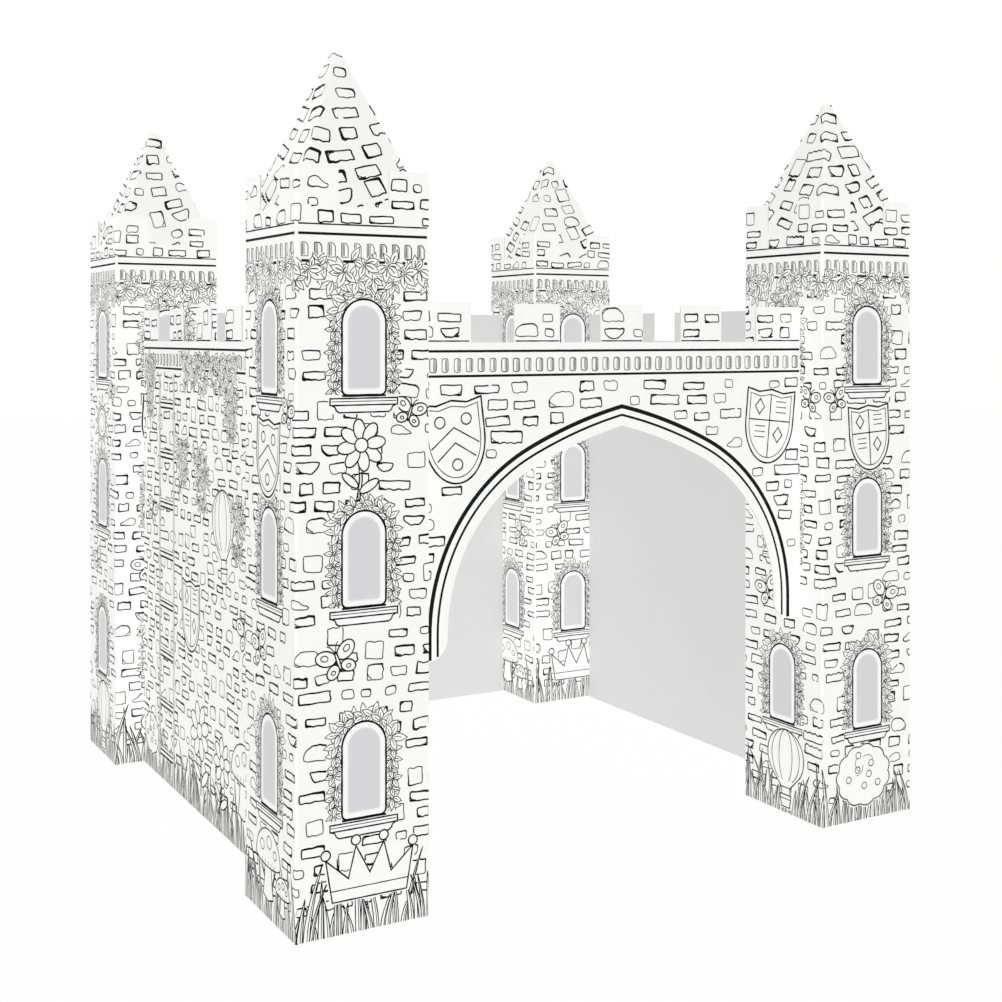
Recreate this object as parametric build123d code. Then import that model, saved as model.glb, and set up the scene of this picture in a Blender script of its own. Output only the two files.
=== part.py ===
"""Cardboard play castle: four folded towers with pyramid roofs, joined by four battlemented walls.

Millimetres, +Z up. The origin is on the ground at the middle of the square plan, and the doorway is
on the -Y side. Every piece is one sheet of corrugated board, cut, folded and slotted into the next.
"""

import os
from math import acos, atan2, cos, degrees, radians, sin, sqrt

from build123d import *

# Board, and the play between pieces that slot together
board = 3.0
crease_radius = 0.6
slip = 0.4

# Plan
castle_side = 1295.0
tower_side = 230.0
wall_inset = 62.0

# Towers
tower_height = 1201.0
notch_width = 87.0
notch_depth = 61.0

# Roofs
roof_rise = 280.0
tip_opening = 7.5

# Glue flaps inside the towers and roofs
sleeve_flap = 32.0
roof_flap = 26.0
roof_flap_bottom = 20.0
roof_flap_top = 60.0
flap_taper = 24.0

# Walls
wall_height = 994.0
gap_width = 85.0
gap_depth = 67.0
gap_count = 4
merlon_width = 92.0

# Doorway arch, a four-centred curve, and the feet of the panel beside it
lintel = 150.0
haunch_radius = 306.0
haunch_angle = 64.0
crown_radius = 866.0
jamb_height = 5.0
foot_radius = 38.0
foot_width = 27.5

# Hook tabs at the walls' sides and the slots that take them
tab_count = 3
tab_height = 46.0
tab_reach = 26.0
lowest_tab = 150.0
highest_tab_drop = 214.0
hook_drop = 11.0
hook_radius = 6.0

# Places that follow from the sizes
half_plan = castle_side / 2
half_tower = tower_side / 2
tower_centre = half_plan - half_tower
sleeve_inside = half_tower - board
fold_radius = board + crease_radius
notch_floor = tower_height - notch_depth
wall_half_length = half_plan - tower_side
wall_middle = half_plan - wall_inset - board / 2
gap_floor = wall_height - gap_depth
tab_pitch = (wall_height - highest_tab_drop - lowest_tab) / (tab_count - 1)
tab_levels = [lowest_tab + index * tab_pitch for index in range(tab_count)]
upward = (Align.CENTER, Align.CENTER, Align.MIN)


# Towers

def tower_notches():
    """The gaps in the battlements of all four faces, as two crossed bars to cut away."""
    bar = Pos(0, 0, notch_floor) * Box(2 * tower_side, notch_width, notch_depth, align=upward)
    return bar + Rot(0, 0, 90) * bar


def slot_cutter(level):
    """One slot through the tower's +X face, tall enough to let the tab's hook pass."""
    height = tab_height + hook_drop + slip
    cutter = Box(4 * board, board + 2 * slip, height, align=upward)
    return Pos(half_tower, tower_centre - wall_middle, level - tab_height / 2) * cutter


def sleeve_seam():
    """The glue flap, stuck to the inside of the +X face beside the courtyard corner."""
    inner_edge = sleeve_inside - sleeve_flap
    outline = Polygon(
        (sleeve_inside, 0),
        (sleeve_inside, notch_floor - flap_taper),
        (inner_edge, notch_floor - 2 * flap_taper),
        (inner_edge, flap_taper),
        align=None,
    )
    plane = Plane(origin=(sleeve_inside, 0, 0), x_dir=(0, 1, 0), z_dir=(1, 0, 0))
    return extrude(plane * outline, amount=-board)


def tower(front_levels, side_levels):
    """A folded sleeve on the plan's origin. Its slots are in the +X and +Y faces."""
    outside = RectangleRounded(tower_side, tower_side, fold_radius)
    inside = RectangleRounded(2 * sleeve_inside, 2 * sleeve_inside, crease_radius)
    sleeve = extrude(outside - inside, amount=tower_height) + sleeve_seam() - tower_notches()
    diagonal = Plane(origin=(0, 0, 0), z_dir=(1, -1, 0))
    for level in front_levels:
        sleeve -= slot_cutter(level)
    for level in side_levels:
        sleeve -= mirror(slot_cutter(level), about=diagonal)
    return sleeve


# Roofs

slope = atan2(roof_rise, half_tower)
skin_width = board / sin(slope)
tip_width = tip_opening + 2 * skin_width
tip_height = notch_floor + roof_rise * (1 - tip_width / tower_side)


def pyramid(inset):
    """A blunt pyramid whose faces are parallel to the roof's, moved in by a width in plan."""
    side = tower_side - 2 * inset
    base = Pos(0, 0, notch_floor) * Rectangle(side, side)
    return extrude(base, amount=tip_height - notch_floor, taper=90 - degrees(slope))


def roof_seam(hollow):
    """The glue flap on the inside of the roof's +X face, along one fold and tapered at both ends."""
    inside = half_tower - skin_width
    start = roof_flap_bottom
    end = inside / cos(slope) - roof_flap_top

    def fold(up):
        return inside - up * cos(slope)

    outline = Polygon(
        (fold(start) + board, -start),
        (fold(start + flap_taper) - roof_flap, -start - flap_taper),
        (fold(end - flap_taper) - roof_flap, -end + flap_taper),
        (fold(end) + board, -end),
        align=None,
    )
    inward = (-sin(slope), 0, -cos(slope))
    plane = Plane(origin=(inside, 0, notch_floor), x_dir=(0, 1, 0), z_dir=inward)
    return extrude(plane * outline, amount=board) & hollow


def roof():
    """A folded pyramid. Its tongues stand on the notch floors and its corners sit inside the merlons."""
    block = pyramid(0)
    folds = block.edges().group_by(Axis.Z)[1]
    hollow = pyramid(skin_width)
    shell = fillet(folds, fold_radius) - hollow + roof_seam(hollow)
    corner_floor = (board + slip) * roof_rise / half_tower
    tongue_width = notch_width - 2 * slip
    corners = Pos(0, 0, notch_floor + corner_floor) * Box(tower_side, tower_side, roof_rise, align=upward)
    tongues = Pos(0, 0, notch_floor) * Box(tower_side, tongue_width, roof_rise, align=upward)
    return shell & (corners + tongues + Rot(0, 0, 90) * tongues)


# Walls

def strip(x_low, x_high, z_low, z_high):
    """A rectangle in a sheet's own plane, given by its edges."""
    middle = Pos((x_low + x_high) / 2, (z_low + z_high) / 2)
    return middle * Rectangle(x_high - x_low, z_high - z_low)


def battlement_gaps():
    """The cut-away gaps along a wall's top edge, evenly pitched about the middle."""
    pitch = merlon_width + gap_width
    first = -pitch * (gap_count - 1) / 2
    gaps = Sketch()
    for index in range(gap_count):
        middle = first + index * pitch
        gaps += strip(middle - gap_width / 2, middle + gap_width / 2, gap_floor, wall_height)
    return gaps


def hook_tab(level):
    """The tab at a wall's +X end: a neck in the tower's slot and a head that hooks down behind it."""
    bottom = level - tab_height / 2
    top = level + tab_height / 2
    neck_end = wall_half_length + board + slip
    neck = strip(wall_half_length, neck_end, bottom, top)
    head = strip(neck_end, neck_end + tab_reach, bottom - hook_drop, top)
    head = fillet(head.vertices().group_by(Axis.X)[-1], hook_radius)
    return neck + head


def wall_outline(bottom, levels):
    """A wall's outline in X and Z, with its battlements and its tabs at both ends."""
    sheet = strip(-wall_half_length, wall_half_length, bottom, wall_height) - battlement_gaps()
    for level in levels:
        tab = hook_tab(level)
        sheet += tab
        sheet += mirror(tab, about=Plane.YZ)
    return sheet


def upright(outline):
    """Stand an outline drawn in X and Z up as the sheet of the castle's front side."""
    outer_face = Plane(origin=(0, -wall_middle - board / 2, 0), x_dir=(1, 0, 0), z_dir=(0, -1, 0))
    return extrude(outer_face * outline, amount=-board)


# The arch: its haunches and crown meet in a smooth curve, and its point is on the middle line

arch_half_span = wall_half_length - foot_width - foot_radius
haunch_x = arch_half_span - haunch_radius
crown_shift = crown_radius - haunch_radius
crown_x = haunch_x - crown_shift * cos(radians(haunch_angle))
crown_drop = crown_shift * sin(radians(haunch_angle))
arch_rise = sqrt(crown_radius**2 - crown_x**2) - crown_drop
arch_spring = gap_floor - lintel - arch_rise
foot_height = arch_spring - jamb_height - foot_radius
arch_levels = [level for level in tab_levels if level - tab_height / 2 - hook_drop > foot_height]


def arch_outline():
    """The doorway's outline from the ground up: feet with a rounded side, haunches and crown."""
    point_angle = degrees(acos(-crown_x / crown_radius))
    foot_x = arch_half_span + foot_radius
    foot_top = foot_height + foot_radius
    with BuildLine() as half:
        CenterArc((crown_x, arch_spring - crown_drop), crown_radius, haunch_angle, point_angle - haunch_angle)
        CenterArc((haunch_x, arch_spring), haunch_radius, 0, haunch_angle)
        Line((arch_half_span, arch_spring), (arch_half_span, foot_top))
        CenterArc((foot_x, foot_top), foot_radius, 180, 90)
        Line((foot_x, foot_height), (foot_x, 0))
        Line((foot_x, 0), (0, 0))
        mirror(about=Plane.YZ)
    return make_face(half.edges())


# The castle: each corner and side is the front-left one turned about the middle of the plan

def corner_pieces(turn):
    """The tower and roof of the corner that a turn about the middle brings the front-left one to."""
    front_levels = arch_levels if turn == 0 else tab_levels
    side_levels = arch_levels if turn == 90 else tab_levels
    place = Rot(0, 0, turn) * Pos(-tower_centre, -tower_centre, 0)
    return place * tower(front_levels, side_levels), place * roof()


corners = {"front_left": 0, "front_right": 90, "back_right": 180, "back_left": 270}
plain_walls = {"right_wall": 90, "back_wall": 180, "left_wall": 270}

pieces = {"arch_wall": upright(wall_outline(foot_height, arch_levels) - arch_outline())}
for name, turn in plain_walls.items():
    pieces[name] = Rot(0, 0, turn) * upright(wall_outline(0, tab_levels))
for name, turn in corners.items():
    pieces["tower_" + name], pieces["roof_" + name] = corner_pieces(turn)

os.makedirs("parts", exist_ok=True)
for name, shape in pieces.items():
    export_step(shape, os.path.join("parts", name + ".step"))
    print(name, round(shape.volume), [round(length, 1) for length in shape.bounding_box().size])
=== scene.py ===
"""Looks of a cardboard play castle: coated fluted board, its folds and cut edges, and its line print."""

import logging
import math
import random
from collections import defaultdict
from collections.abc import Callable, Iterable
from dataclasses import dataclass, field
from enum import Enum
from functools import partial
from itertools import product

import bpy
import numpy as np
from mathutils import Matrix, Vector


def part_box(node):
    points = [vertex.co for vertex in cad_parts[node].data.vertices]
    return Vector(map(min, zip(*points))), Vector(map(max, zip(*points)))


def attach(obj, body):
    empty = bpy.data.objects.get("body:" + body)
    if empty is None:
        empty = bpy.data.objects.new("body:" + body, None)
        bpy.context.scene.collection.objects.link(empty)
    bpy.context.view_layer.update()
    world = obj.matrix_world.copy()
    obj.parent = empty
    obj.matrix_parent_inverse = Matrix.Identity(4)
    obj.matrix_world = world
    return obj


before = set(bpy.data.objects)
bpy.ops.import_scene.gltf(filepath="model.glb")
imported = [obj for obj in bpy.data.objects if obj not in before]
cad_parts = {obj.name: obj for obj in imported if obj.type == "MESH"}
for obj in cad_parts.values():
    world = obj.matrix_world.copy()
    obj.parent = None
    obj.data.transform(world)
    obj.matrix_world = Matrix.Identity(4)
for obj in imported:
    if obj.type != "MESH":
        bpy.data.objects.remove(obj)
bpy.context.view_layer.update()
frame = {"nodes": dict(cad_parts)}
LOG = logging.getLogger("castle")

MM = 0.001

Points = np.ndarray
Line = Points | list[tuple[float, float]]
Range = tuple[float, float]
Region = Callable[[Points], np.ndarray]
Row = Callable[[float], tuple[float, float]]
Material = bpy.types.Material
Node = bpy.types.Node
Adder = Callable[..., Node]


# Sizes of the castle in millimetres: what the frame's boxes give, and what they don't

def box_mm(node: str) -> tuple[Vector, Vector]:
    """Give a node's lowest and highest corners in millimetres."""
    low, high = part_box(node)
    return low / MM, high / MM


@dataclass(frozen=True)
class Plan:
    """Sizes of the castle that its print and its finishes follow, in millimetres."""

    half_plan: float
    tower_side: float
    tower_height: float
    roof_top: float
    wall_face: float
    wall_half: float
    wall_height: float
    foot_height: float
    board: float = 3.0
    notch_half: float = 43.5
    notch_depth: float = 61.0
    roof_rise: float = 280.0
    gap_half: float = 42.5
    gap_depth: float = 67.0
    gap_pitch: float = 177.0
    gap_count: int = 4
    arch_half: float = 352.0
    haunch_radius: float = 306.0
    haunch_angle: float = 64.0
    crown_radius: float = 866.0
    lintel: float = 150.0

    @classmethod
    def from_frame(cls) -> "Plan":
        """Read the sizes that the frame's boxes give.

        Returns:
            The castle's plan.
        """
        tower_low, tower_high = box_mm("tower_front_left")
        roof_high = box_mm("roof_front_left")[1]
        wall_low, wall_high = box_mm("left_wall")
        arch_low = box_mm("arch_wall")[0]
        return cls(
            half_plan=-tower_low.x,
            tower_side=tower_high.x - tower_low.x,
            tower_height=tower_high.z,
            roof_top=roof_high.z,
            wall_face=-wall_low.x,
            wall_half=-tower_high.x,
            wall_height=wall_high.z,
            foot_height=arch_low.z,
        )

    @property
    def half_tower(self) -> float:
        """Half a tower's side."""
        return self.tower_side / 2

    @property
    def tower_centre(self) -> float:
        """How far a tower's middle is from the plan's middle, along X and along Y."""
        return self.half_plan - self.half_tower

    def centre(self, corner: tuple[int, int], height: float = 0.0) -> Vector:
        """Give the middle of the tower at a corner, at a height, in millimetres."""
        return Vector((corner[0] * self.tower_centre, corner[1] * self.tower_centre, height))

    @property
    def notch_floor(self) -> float:
        """Height of the floor of a tower's notches, where the roofs stand."""
        return self.tower_height - self.notch_depth

    @property
    def gap_floor(self) -> float:
        """Height of the floor of the gaps in a wall's battlements."""
        return self.wall_height - self.gap_depth

    @property
    def slope(self) -> float:
        """Angle of a roof's face above the level, in radians."""
        return math.atan2(self.roof_rise, self.half_tower)

    @property
    def roof_length(self) -> float:
        """Length of a roof's face along its slope, from the notch floor to the cut tip."""
        return (self.roof_top - self.notch_floor) / math.sin(self.slope)


PLAN = Plan.from_frame()


# Flat shapes: panels, pens, and shapes that hide what is drawn after them

# The folds' outer radius, and how far beside a fold a line has more points, in millimetres
FOLD_RADIUS = 3.6
NEAR_FOLD = 3.0


class Side(Enum):
    """The four sides of the square plan, as quarter turns from the front."""

    FRONT = 0
    RIGHT = 1
    BACK = 2
    LEFT = 3

    @property
    def across(self) -> Vector:
        """Direction to the right for someone who looks at this side from outside."""
        angle = self.value * math.pi / 2
        return Vector((round(math.cos(angle)), round(math.sin(angle)), 0))

    @property
    def out(self) -> Vector:
        """Direction out of the castle."""
        return Vector((self.across.y, -self.across.x, 0))


class Pen(Enum):
    """Widths of the printed lines in millimetres."""

    THREAD = 0.9
    HAIR = 1.15
    FINE = 1.5
    LINE = 2.1
    FIRM = 2.9
    RULE = 4.2
    BAND = 7.4


@dataclass(frozen=True)
class Panel:
    """A printed face: its lower middle in metres, and the directions of its width, height and outside."""

    origin: Vector
    across: Vector
    up: Vector
    out: Vector

    def place(self, points: Points, lift: float) -> np.ndarray:
        """Put points of this panel into the castle.

        Args:
            points: rows of distance across and up, in millimetres.
            lift: height over the board, in millimetres.

        Returns:
            Rows of x, y and z in metres.
        """
        flat = np.outer(points[:, 0], self.across) + np.outer(points[:, 1], self.up)
        return np.array(self.origin) + (flat + lift * np.array(self.out)) * MM


@dataclass(frozen=True)
class Sleeve:
    """A tower's printed outside as one sheet, from seam to seam, that bends round the tower's folds."""

    centre: Vector
    seam_side: int
    half: float
    fold_radius: float = FOLD_RADIUS

    @property
    def flat_half(self) -> float:
        """Half the flat part of a face."""
        return self.half - self.fold_radius

    @property
    def pitch(self) -> float:
        """Length of the sheet from the middle of one face to the middle of the next."""
        return 2 * self.flat_half + math.pi / 2 * self.fold_radius

    def side(self, face: int) -> Side:
        """Give the side that a face of the sheet is on. Face 0 starts at the seam."""
        return Side((self.seam_side + face) % 4)

    def from_middle(self, points: Points) -> tuple[np.ndarray, np.ndarray]:
        """Give each point's face and its distance across from that face's middle."""
        face = np.clip(np.round(points[:, 0] / self.pitch), 0, 3).astype(int)
        return face, points[:, 0] - face * self.pitch

    def bends(self, line: Points) -> np.ndarray:
        """Mark the points of a line that are close to a fold."""
        return np.abs(self.from_middle(line)[1]) > self.flat_half - NEAR_FOLD

    def place(self, points: Points, lift: float) -> np.ndarray:
        """Put points of the sheet into the castle.

        Args:
            points: rows of distance from the first face's middle and distance up, in millimetres.
            lift: height over the board, in millimetres.

        Returns:
            Rows of x, y and z in metres.
        """
        face, across = self.from_middle(points)
        turned = np.maximum(np.abs(across) - self.flat_half, 0) / self.fold_radius
        reach = self.fold_radius + lift * (1 + np.minimum(turned, 1))
        u = np.sign(across) * (np.minimum(np.abs(across), self.flat_half) + reach * np.sin(turned))
        w = self.flat_half + reach * np.cos(turned)
        right = np.array([self.side(index).across for index in range(4)])[face]
        out = np.array([self.side(index).out for index in range(4)])[face]
        up = np.outer(points[:, 1], (0, 0, 1))
        return np.array(self.centre) + (u[:, None] * right + w[:, None] * out + up) * MM


@dataclass(frozen=True)
class Ridge:
    """Two neighbouring faces of a roof as one printed sheet, which bends round the fold up its middle."""

    foot: Vector
    along: Vector
    ahead: Vector
    half_turn: float
    fold_radius: float = FOLD_RADIUS

    def bends(self, line: Points) -> np.ndarray:
        """Mark the points of a line that are close to the fold."""
        return np.abs(line[:, 0]) < self.fold_radius + NEAR_FOLD

    def place(self, points: Points, lift: float) -> np.ndarray:
        """Put points of the sheet into the castle.

        Args:
            points: rows of distance across from the fold, and distance up along it, in millimetres.
            lift: height over the board, in millimetres.

        Returns:
            Rows of x, y and z in metres.
        """
        turned = np.clip(points[:, :1] / self.fold_radius, -self.half_turn, self.half_turn)
        ahead, across = np.array(self.ahead), np.array(self.along.cross(self.ahead))
        outward = ahead * np.cos(turned) + across * np.sin(turned)
        sideways = across * np.cos(turned) - ahead * np.sin(turned)
        axis = -self.fold_radius / math.cos(self.half_turn) * ahead
        flat = (points[:, :1] - self.fold_radius * turned) * sideways + points[:, 1:] * np.array(self.along)
        return np.array(self.foot) + (axis + (self.fold_radius + lift) * outward + flat) * MM


@dataclass(frozen=True)
class Oval:
    """A tilted oval that hides what is drawn after it."""

    u: float
    v: float
    along: float
    across: float
    tilt: float = 0.0

    def bounds(self) -> tuple[Points, Points]:
        """Give the lowest and highest corners of a square that holds it."""
        reach = max(self.along, self.across)
        return np.array([self.u - reach, self.v - reach]), np.array([self.u + reach, self.v + reach])

    def hides(self, points: Points) -> np.ndarray:
        """Mark the points inside the oval.

        Args:
            points: rows of distance across and up, in millimetres.

        Returns:
            True for each point inside.
        """
        du = points[:, 0] - self.u
        dv = points[:, 1] - self.v
        cos, sin = math.cos(self.tilt), math.sin(self.tilt)
        return ((du * cos + dv * sin) / self.along) ** 2 + ((dv * cos - du * sin) / self.across) ** 2 < 1


@dataclass(frozen=True)
class Block:
    """An upright rectangle that hides what is drawn after it. A rounded head makes it a window."""

    u: float
    v: float
    half_width: float
    half_height: float
    round_head: bool = False

    def bounds(self) -> tuple[Points, Points]:
        """Give its lowest and highest corners."""
        middle, half = np.array([self.u, self.v]), np.array([self.half_width, self.half_height])
        return middle - half, middle + half

    def hides(self, points: Points) -> np.ndarray:
        """Mark the points inside the rectangle.

        Args:
            points: rows of distance across and up, in millimetres.

        Returns:
            True for each point inside.
        """
        du = np.abs(points[:, 0] - self.u)
        dv = points[:, 1] - self.v
        inside = (du < self.half_width) & (np.abs(dv) < self.half_height)
        if self.round_head:
            spring = self.half_height - self.half_width
            inside &= (dv < spring) | (np.hypot(du, dv - spring) < self.half_width)
        return inside


@dataclass(frozen=True)
class Cutout:
    """Any closed outline that hides what is drawn after it."""

    outline: Points

    def bounds(self) -> tuple[Points, Points]:
        """Give the lowest and highest corners of a rectangle that holds it."""
        return self.outline.min(axis=0), self.outline.max(axis=0)

    def hides(self, points: Points) -> np.ndarray:
        """Mark the points inside the outline, by the even-odd rule.

        Args:
            points: rows of distance across and up, in millimetres.

        Returns:
            True for each point inside.
        """
        inside = np.zeros(len(points), bool)
        u, v = points[:, 0], points[:, 1]
        for (start_u, start_v), (end_u, end_v) in zip(self.outline, np.roll(self.outline, -1, axis=0)):
            if start_v != end_v:
                crossing = start_u + (end_u - start_u) * (v - start_v) / (end_v - start_v)
                inside ^= ((start_v > v) != (end_v > v)) & (u < crossing)
        return inside


Cover = Oval | Block | Cutout


def resample(points: Points, step: float, closed: bool) -> Points:
    """Add points to a line, keeping its own, so that none are more than a step apart.

    Args:
        points: the line's points.
        step: the greatest distance between neighbours, in millimetres.
        closed: whether the line is closed.

    Returns:
        The line with its added points.
    """
    line = np.vstack([points, points[:1]]) if closed else points
    runs = np.hypot(*np.diff(line, axis=0).T)
    pieces = [line[:1]]
    for start, end, run in zip(line[:-1], line[1:], runs):
        count = max(1, math.ceil(run / step))
        shares = np.arange(1, count + 1)[:, None] / count
        pieces.append(start + (end - start) * shares)
    joined = np.vstack(pieces)
    return joined[:-1] if closed else joined


def refine(line: Points, bends: np.ndarray, closed: bool) -> Points:
    """Add two more points between a line's neighbours where it bends round a fold.

    Args:
        line: the line's points.
        bends: which of them are close to a fold.
        closed: whether the line is closed.

    Returns:
        The line with its added points.
    """
    if not bends.any():
        return line
    pieces = [start + (end - start) * np.array([[0], [1 / 3], [2 / 3]]) if near else start[None]
              for start, end, near in zip(line, np.roll(line, -1, axis=0), bends)]
    if not closed:
        pieces[-1] = line[-1:]
    return np.vstack(pieces)


def visible_runs(shown: np.ndarray, closed: bool) -> Iterable[np.ndarray]:
    """Give the index runs of a line's shown points, joined across the seam of a closed line.

    Args:
        shown: which of the line's points are shown.
        closed: whether the line is closed.

    Returns:
        Runs of the shown points' numbers, each of three or more.
    """
    count = len(shown)
    start = int(np.argmin(shown)) if closed else 0
    order = (np.arange(count) + start) % count
    breaks = np.flatnonzero(~shown[order])
    for run in np.split(order, breaks):
        run = run[shown[run]]
        if len(run) > 2:
            yield run


# The printed layer

TINT_DEPTH = "tint_depth"


class Ink(Enum):
    """What a printed shape is filled with. The values are the material slots of a print."""

    BLACK = 0
    TINT = 1


class PrintLayer:
    """The print of one sheet of board: thin flat shapes a hair above the coated liner."""

    LINE_LIFT = 0.09
    TINT_LIFT = 0.04

    def __init__(self) -> None:
        """Start an empty layer."""
        self.positions: list[np.ndarray] = []
        self.depths: list[np.ndarray] = []
        self.faces: list[tuple[int, ...]] = []
        self.inks: list[int] = []
        self.count = 0

    def add(self, positions: np.ndarray, depth: np.ndarray, faces: np.ndarray, ink: Ink) -> None:
        """Add a shape.

        Args:
            positions: rows of x, y and z in metres.
            depth: how deep the tint is at each, from 0 to 1.
            faces: rows of corners, as numbers of positions.
            ink: what the shape is filled with.
        """
        self.positions.append(positions)
        self.depths.append(depth)
        self.faces.extend(map(tuple, (faces + self.count).tolist()))
        self.inks.extend([ink.value] * len(faces))
        self.count += len(positions)

    def build(self, name: str, finishes: list[Material]) -> bpy.types.Object:
        """Make the layer's object.

        Args:
            name: the piece's name.
            finishes: the materials, in the order of Ink.

        Returns:
            The object, which rides on the castle.
        """
        mesh = bpy.data.meshes.new(name)
        mesh.from_pydata(np.vstack(self.positions), [], self.faces)
        tint = mesh.attributes.new(TINT_DEPTH, "FLOAT", "POINT")
        tint.data.foreach_set("value", np.concatenate(self.depths).astype(np.float32))
        for finish in finishes:
            mesh.materials.append(finish)
        mesh.polygons.foreach_set("material_index", self.inks)
        piece = bpy.data.objects.new(name, mesh)
        bpy.context.scene.collection.objects.link(piece)
        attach(piece, "root")
        LOG.info("%s: %d faces", name, len(self.faces))
        return piece


@dataclass
class Drawing:
    """Line work on one panel, drawn front to back: what comes first hides what comes later.

    Its lines have a point every step, and their width sways by a share of it along their length. Covers
    are kept by the cells of a square grid. Lengths are in millimetres, and sway_rate in radians for each.
    """

    panel: Panel | Sleeve | Ridge
    layer: PrintLayer
    region: Region
    rng: random.Random
    boldness: float = 1.0
    covers: dict[tuple[int, int], list[Cover]] = field(default_factory=lambda: defaultdict(list))
    step: float = 2.6
    cell: float = 45.0
    sway: float = 0.09
    sway_rate: float = 0.16

    def cells(self, low: Points, high: Points) -> Iterable[tuple[int, int]]:
        """Give the cells of the grid that a rectangle touches."""
        first, last = (np.floor(corner / self.cell).astype(int) for corner in (low, high))
        return product(range(first[0], last[0] + 1), range(first[1], last[1] + 1))

    def hide(self, cover: Cover) -> None:
        """Keep later line work out of a shape."""
        for cell in self.cells(*cover.bounds()):
            self.covers[cell].append(cover)

    def shown(self, line: Points) -> np.ndarray:
        """Mark the points that are on the board and that no earlier shape hides.

        Args:
            line: the line's points.

        Returns:
            True for each point that shows.
        """
        shown = self.region(line)
        nearby = {id(cover): cover for cell in self.cells(line.min(axis=0), line.max(axis=0))
                  for cover in self.covers.get(cell, ())}
        for cover in nearby.values():
            shown &= ~cover.hides(line)
        return shown

    def stroke(self, points: Line, pen: Pen, closed: bool = False, heavy: tuple[float, float] | None = None,
               weight: float = 0.8) -> None:
        """Draw a line with a slightly uneven hand.

        Args:
            points: the line's points.
            pen: the line's width.
            closed: whether the line joins its own start.
            heavy: a direction in which the line's outer side is drawn heavier.
            weight: how much heavier, as a share of the width.
        """
        line = resample(np.asarray(points, float), self.step, closed)
        if not isinstance(self.panel, Panel):
            line = refine(line, self.panel.bends(line), closed)
        phase = self.rng.uniform(0, 2 * math.pi)
        travelled = np.hypot(*np.diff(line, axis=0, prepend=line[:1]).T).cumsum()
        ruled = pen in (Pen.RULE, Pen.BAND)
        base = pen.value if ruled else pen.value * self.boldness
        widths = base * (1 + (0.0 if ruled else self.sway) * np.sin(travelled * self.sway_rate + phase))
        if heavy is not None:
            middle = line.mean(axis=0)
            aim = (line - middle) @ np.array(heavy)
            widths = widths * (1 + weight * np.clip(aim / (np.abs(aim).max() + 1e-6), 0, 1) ** 2)
        shown = self.shown(line)
        if shown.all():
            self.ribbon(line, widths, closed)
            return
        if shown.any():
            for run in visible_runs(shown, closed):
                self.ribbon(line[run], widths[run], False)

    def ribbon(self, line: Points, widths: np.ndarray, closed: bool) -> None:
        """Lay a flat band along a line, with mitred bends.

        Args:
            line: the line's points.
            widths: the band's width at each.
            closed: whether the line is closed.
        """
        before = np.roll(line, 1, axis=0)
        after = np.roll(line, -1, axis=0)
        if not closed:
            before[0] = 2 * line[0] - line[1]
            after[-1] = 2 * line[-1] - line[-2]
        first, second = unit(line - before), unit(after - line)
        side = unit(np.stack([-first[:, 1] - second[:, 1], first[:, 0] + second[:, 0]], axis=1))
        mitre = np.clip(side[:, 1] * first[:, 0] - side[:, 0] * first[:, 1], 0.5, 1)
        offset = side * (widths / 2 / mitre)[:, None]
        corners = np.empty((2 * len(line), 2))
        corners[0::2] = line - offset
        corners[1::2] = line + offset
        index = np.arange(len(line) if closed else len(line) - 1)
        following = (index + 1) % len(line)
        faces = np.stack([2 * index, 2 * following, 2 * following + 1, 2 * index + 1], axis=1)
        placed = self.panel.place(corners, self.layer.LINE_LIFT)
        self.layer.add(placed, np.zeros(len(placed)), faces, Ink.BLACK)

    def tint(self, edge: Callable[[float], Points], bands: int) -> None:
        """Fill an outline with grey that fades in from its edge.

        Args:
            edge: gives the shape's edge, moved in by a share of the fade.
            bands: number of bands that the fade takes.
        """
        rings = [edge(step / bands) for step in range(bands + 1)]
        count = len(rings[0])
        corners = np.vstack(rings + [rings[-1].mean(axis=0)[None]])
        depths = [np.full(count, step / bands) for step in range(bands + 1)] + [np.ones(1)]
        faces = []
        for ring in range(bands):
            for step in range(count):
                base, following = ring * count, (step + 1) % count
                faces.append([base + step, base + following, base + count + following])
                faces.append([base + step, base + count + following, base + count + step])
        last = bands * count
        faces += [[last + step, last + (step + 1) % count, len(corners) - 1] for step in range(count)]
        placed = self.panel.place(corners, self.layer.TINT_LIFT)
        self.layer.add(placed, np.concatenate(depths), np.array(faces), Ink.TINT)


# Curves

def unit(rows: Points) -> Points:
    """Scale each row to a length of one."""
    return rows / (np.hypot(rows[:, 0], rows[:, 1])[:, None] + 1e-9)


def arc(u: float, v: float, radius: float, start: float, end: float, count: int = 12) -> Points:
    """Give points along a circle, with angles in degrees."""
    turn = np.radians(np.linspace(start, end, count))
    return np.stack([u + radius * np.cos(turn), v + radius * np.sin(turn)], axis=1)


def oval(u: float, v: float, along: float, across: float, tilt: float = 0.0, count: int = 20) -> Points:
    """Give points round a tilted oval."""
    turn = np.linspace(0, 2 * math.pi, count + 1)[:-1]
    return rotate(np.stack([along * np.cos(turn), across * np.sin(turn)], axis=1), tilt) + np.array([u, v])


def rotate(points: Points, angle: float) -> Points:
    """Turn points about the origin by an angle in radians."""
    cos, sin = math.cos(angle), math.sin(angle)
    return points @ np.array([[cos, sin], [-sin, cos]])


def toward(corners: Points, others: Points, radius: float, most: float = 0.42) -> Points:
    """Move each corner toward another by a radius, or by most of the way between them if that is less."""
    length = np.hypot(*(others - corners).T)[:, None]
    return corners + (others - corners) / length * np.minimum(radius, most * length)


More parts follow.
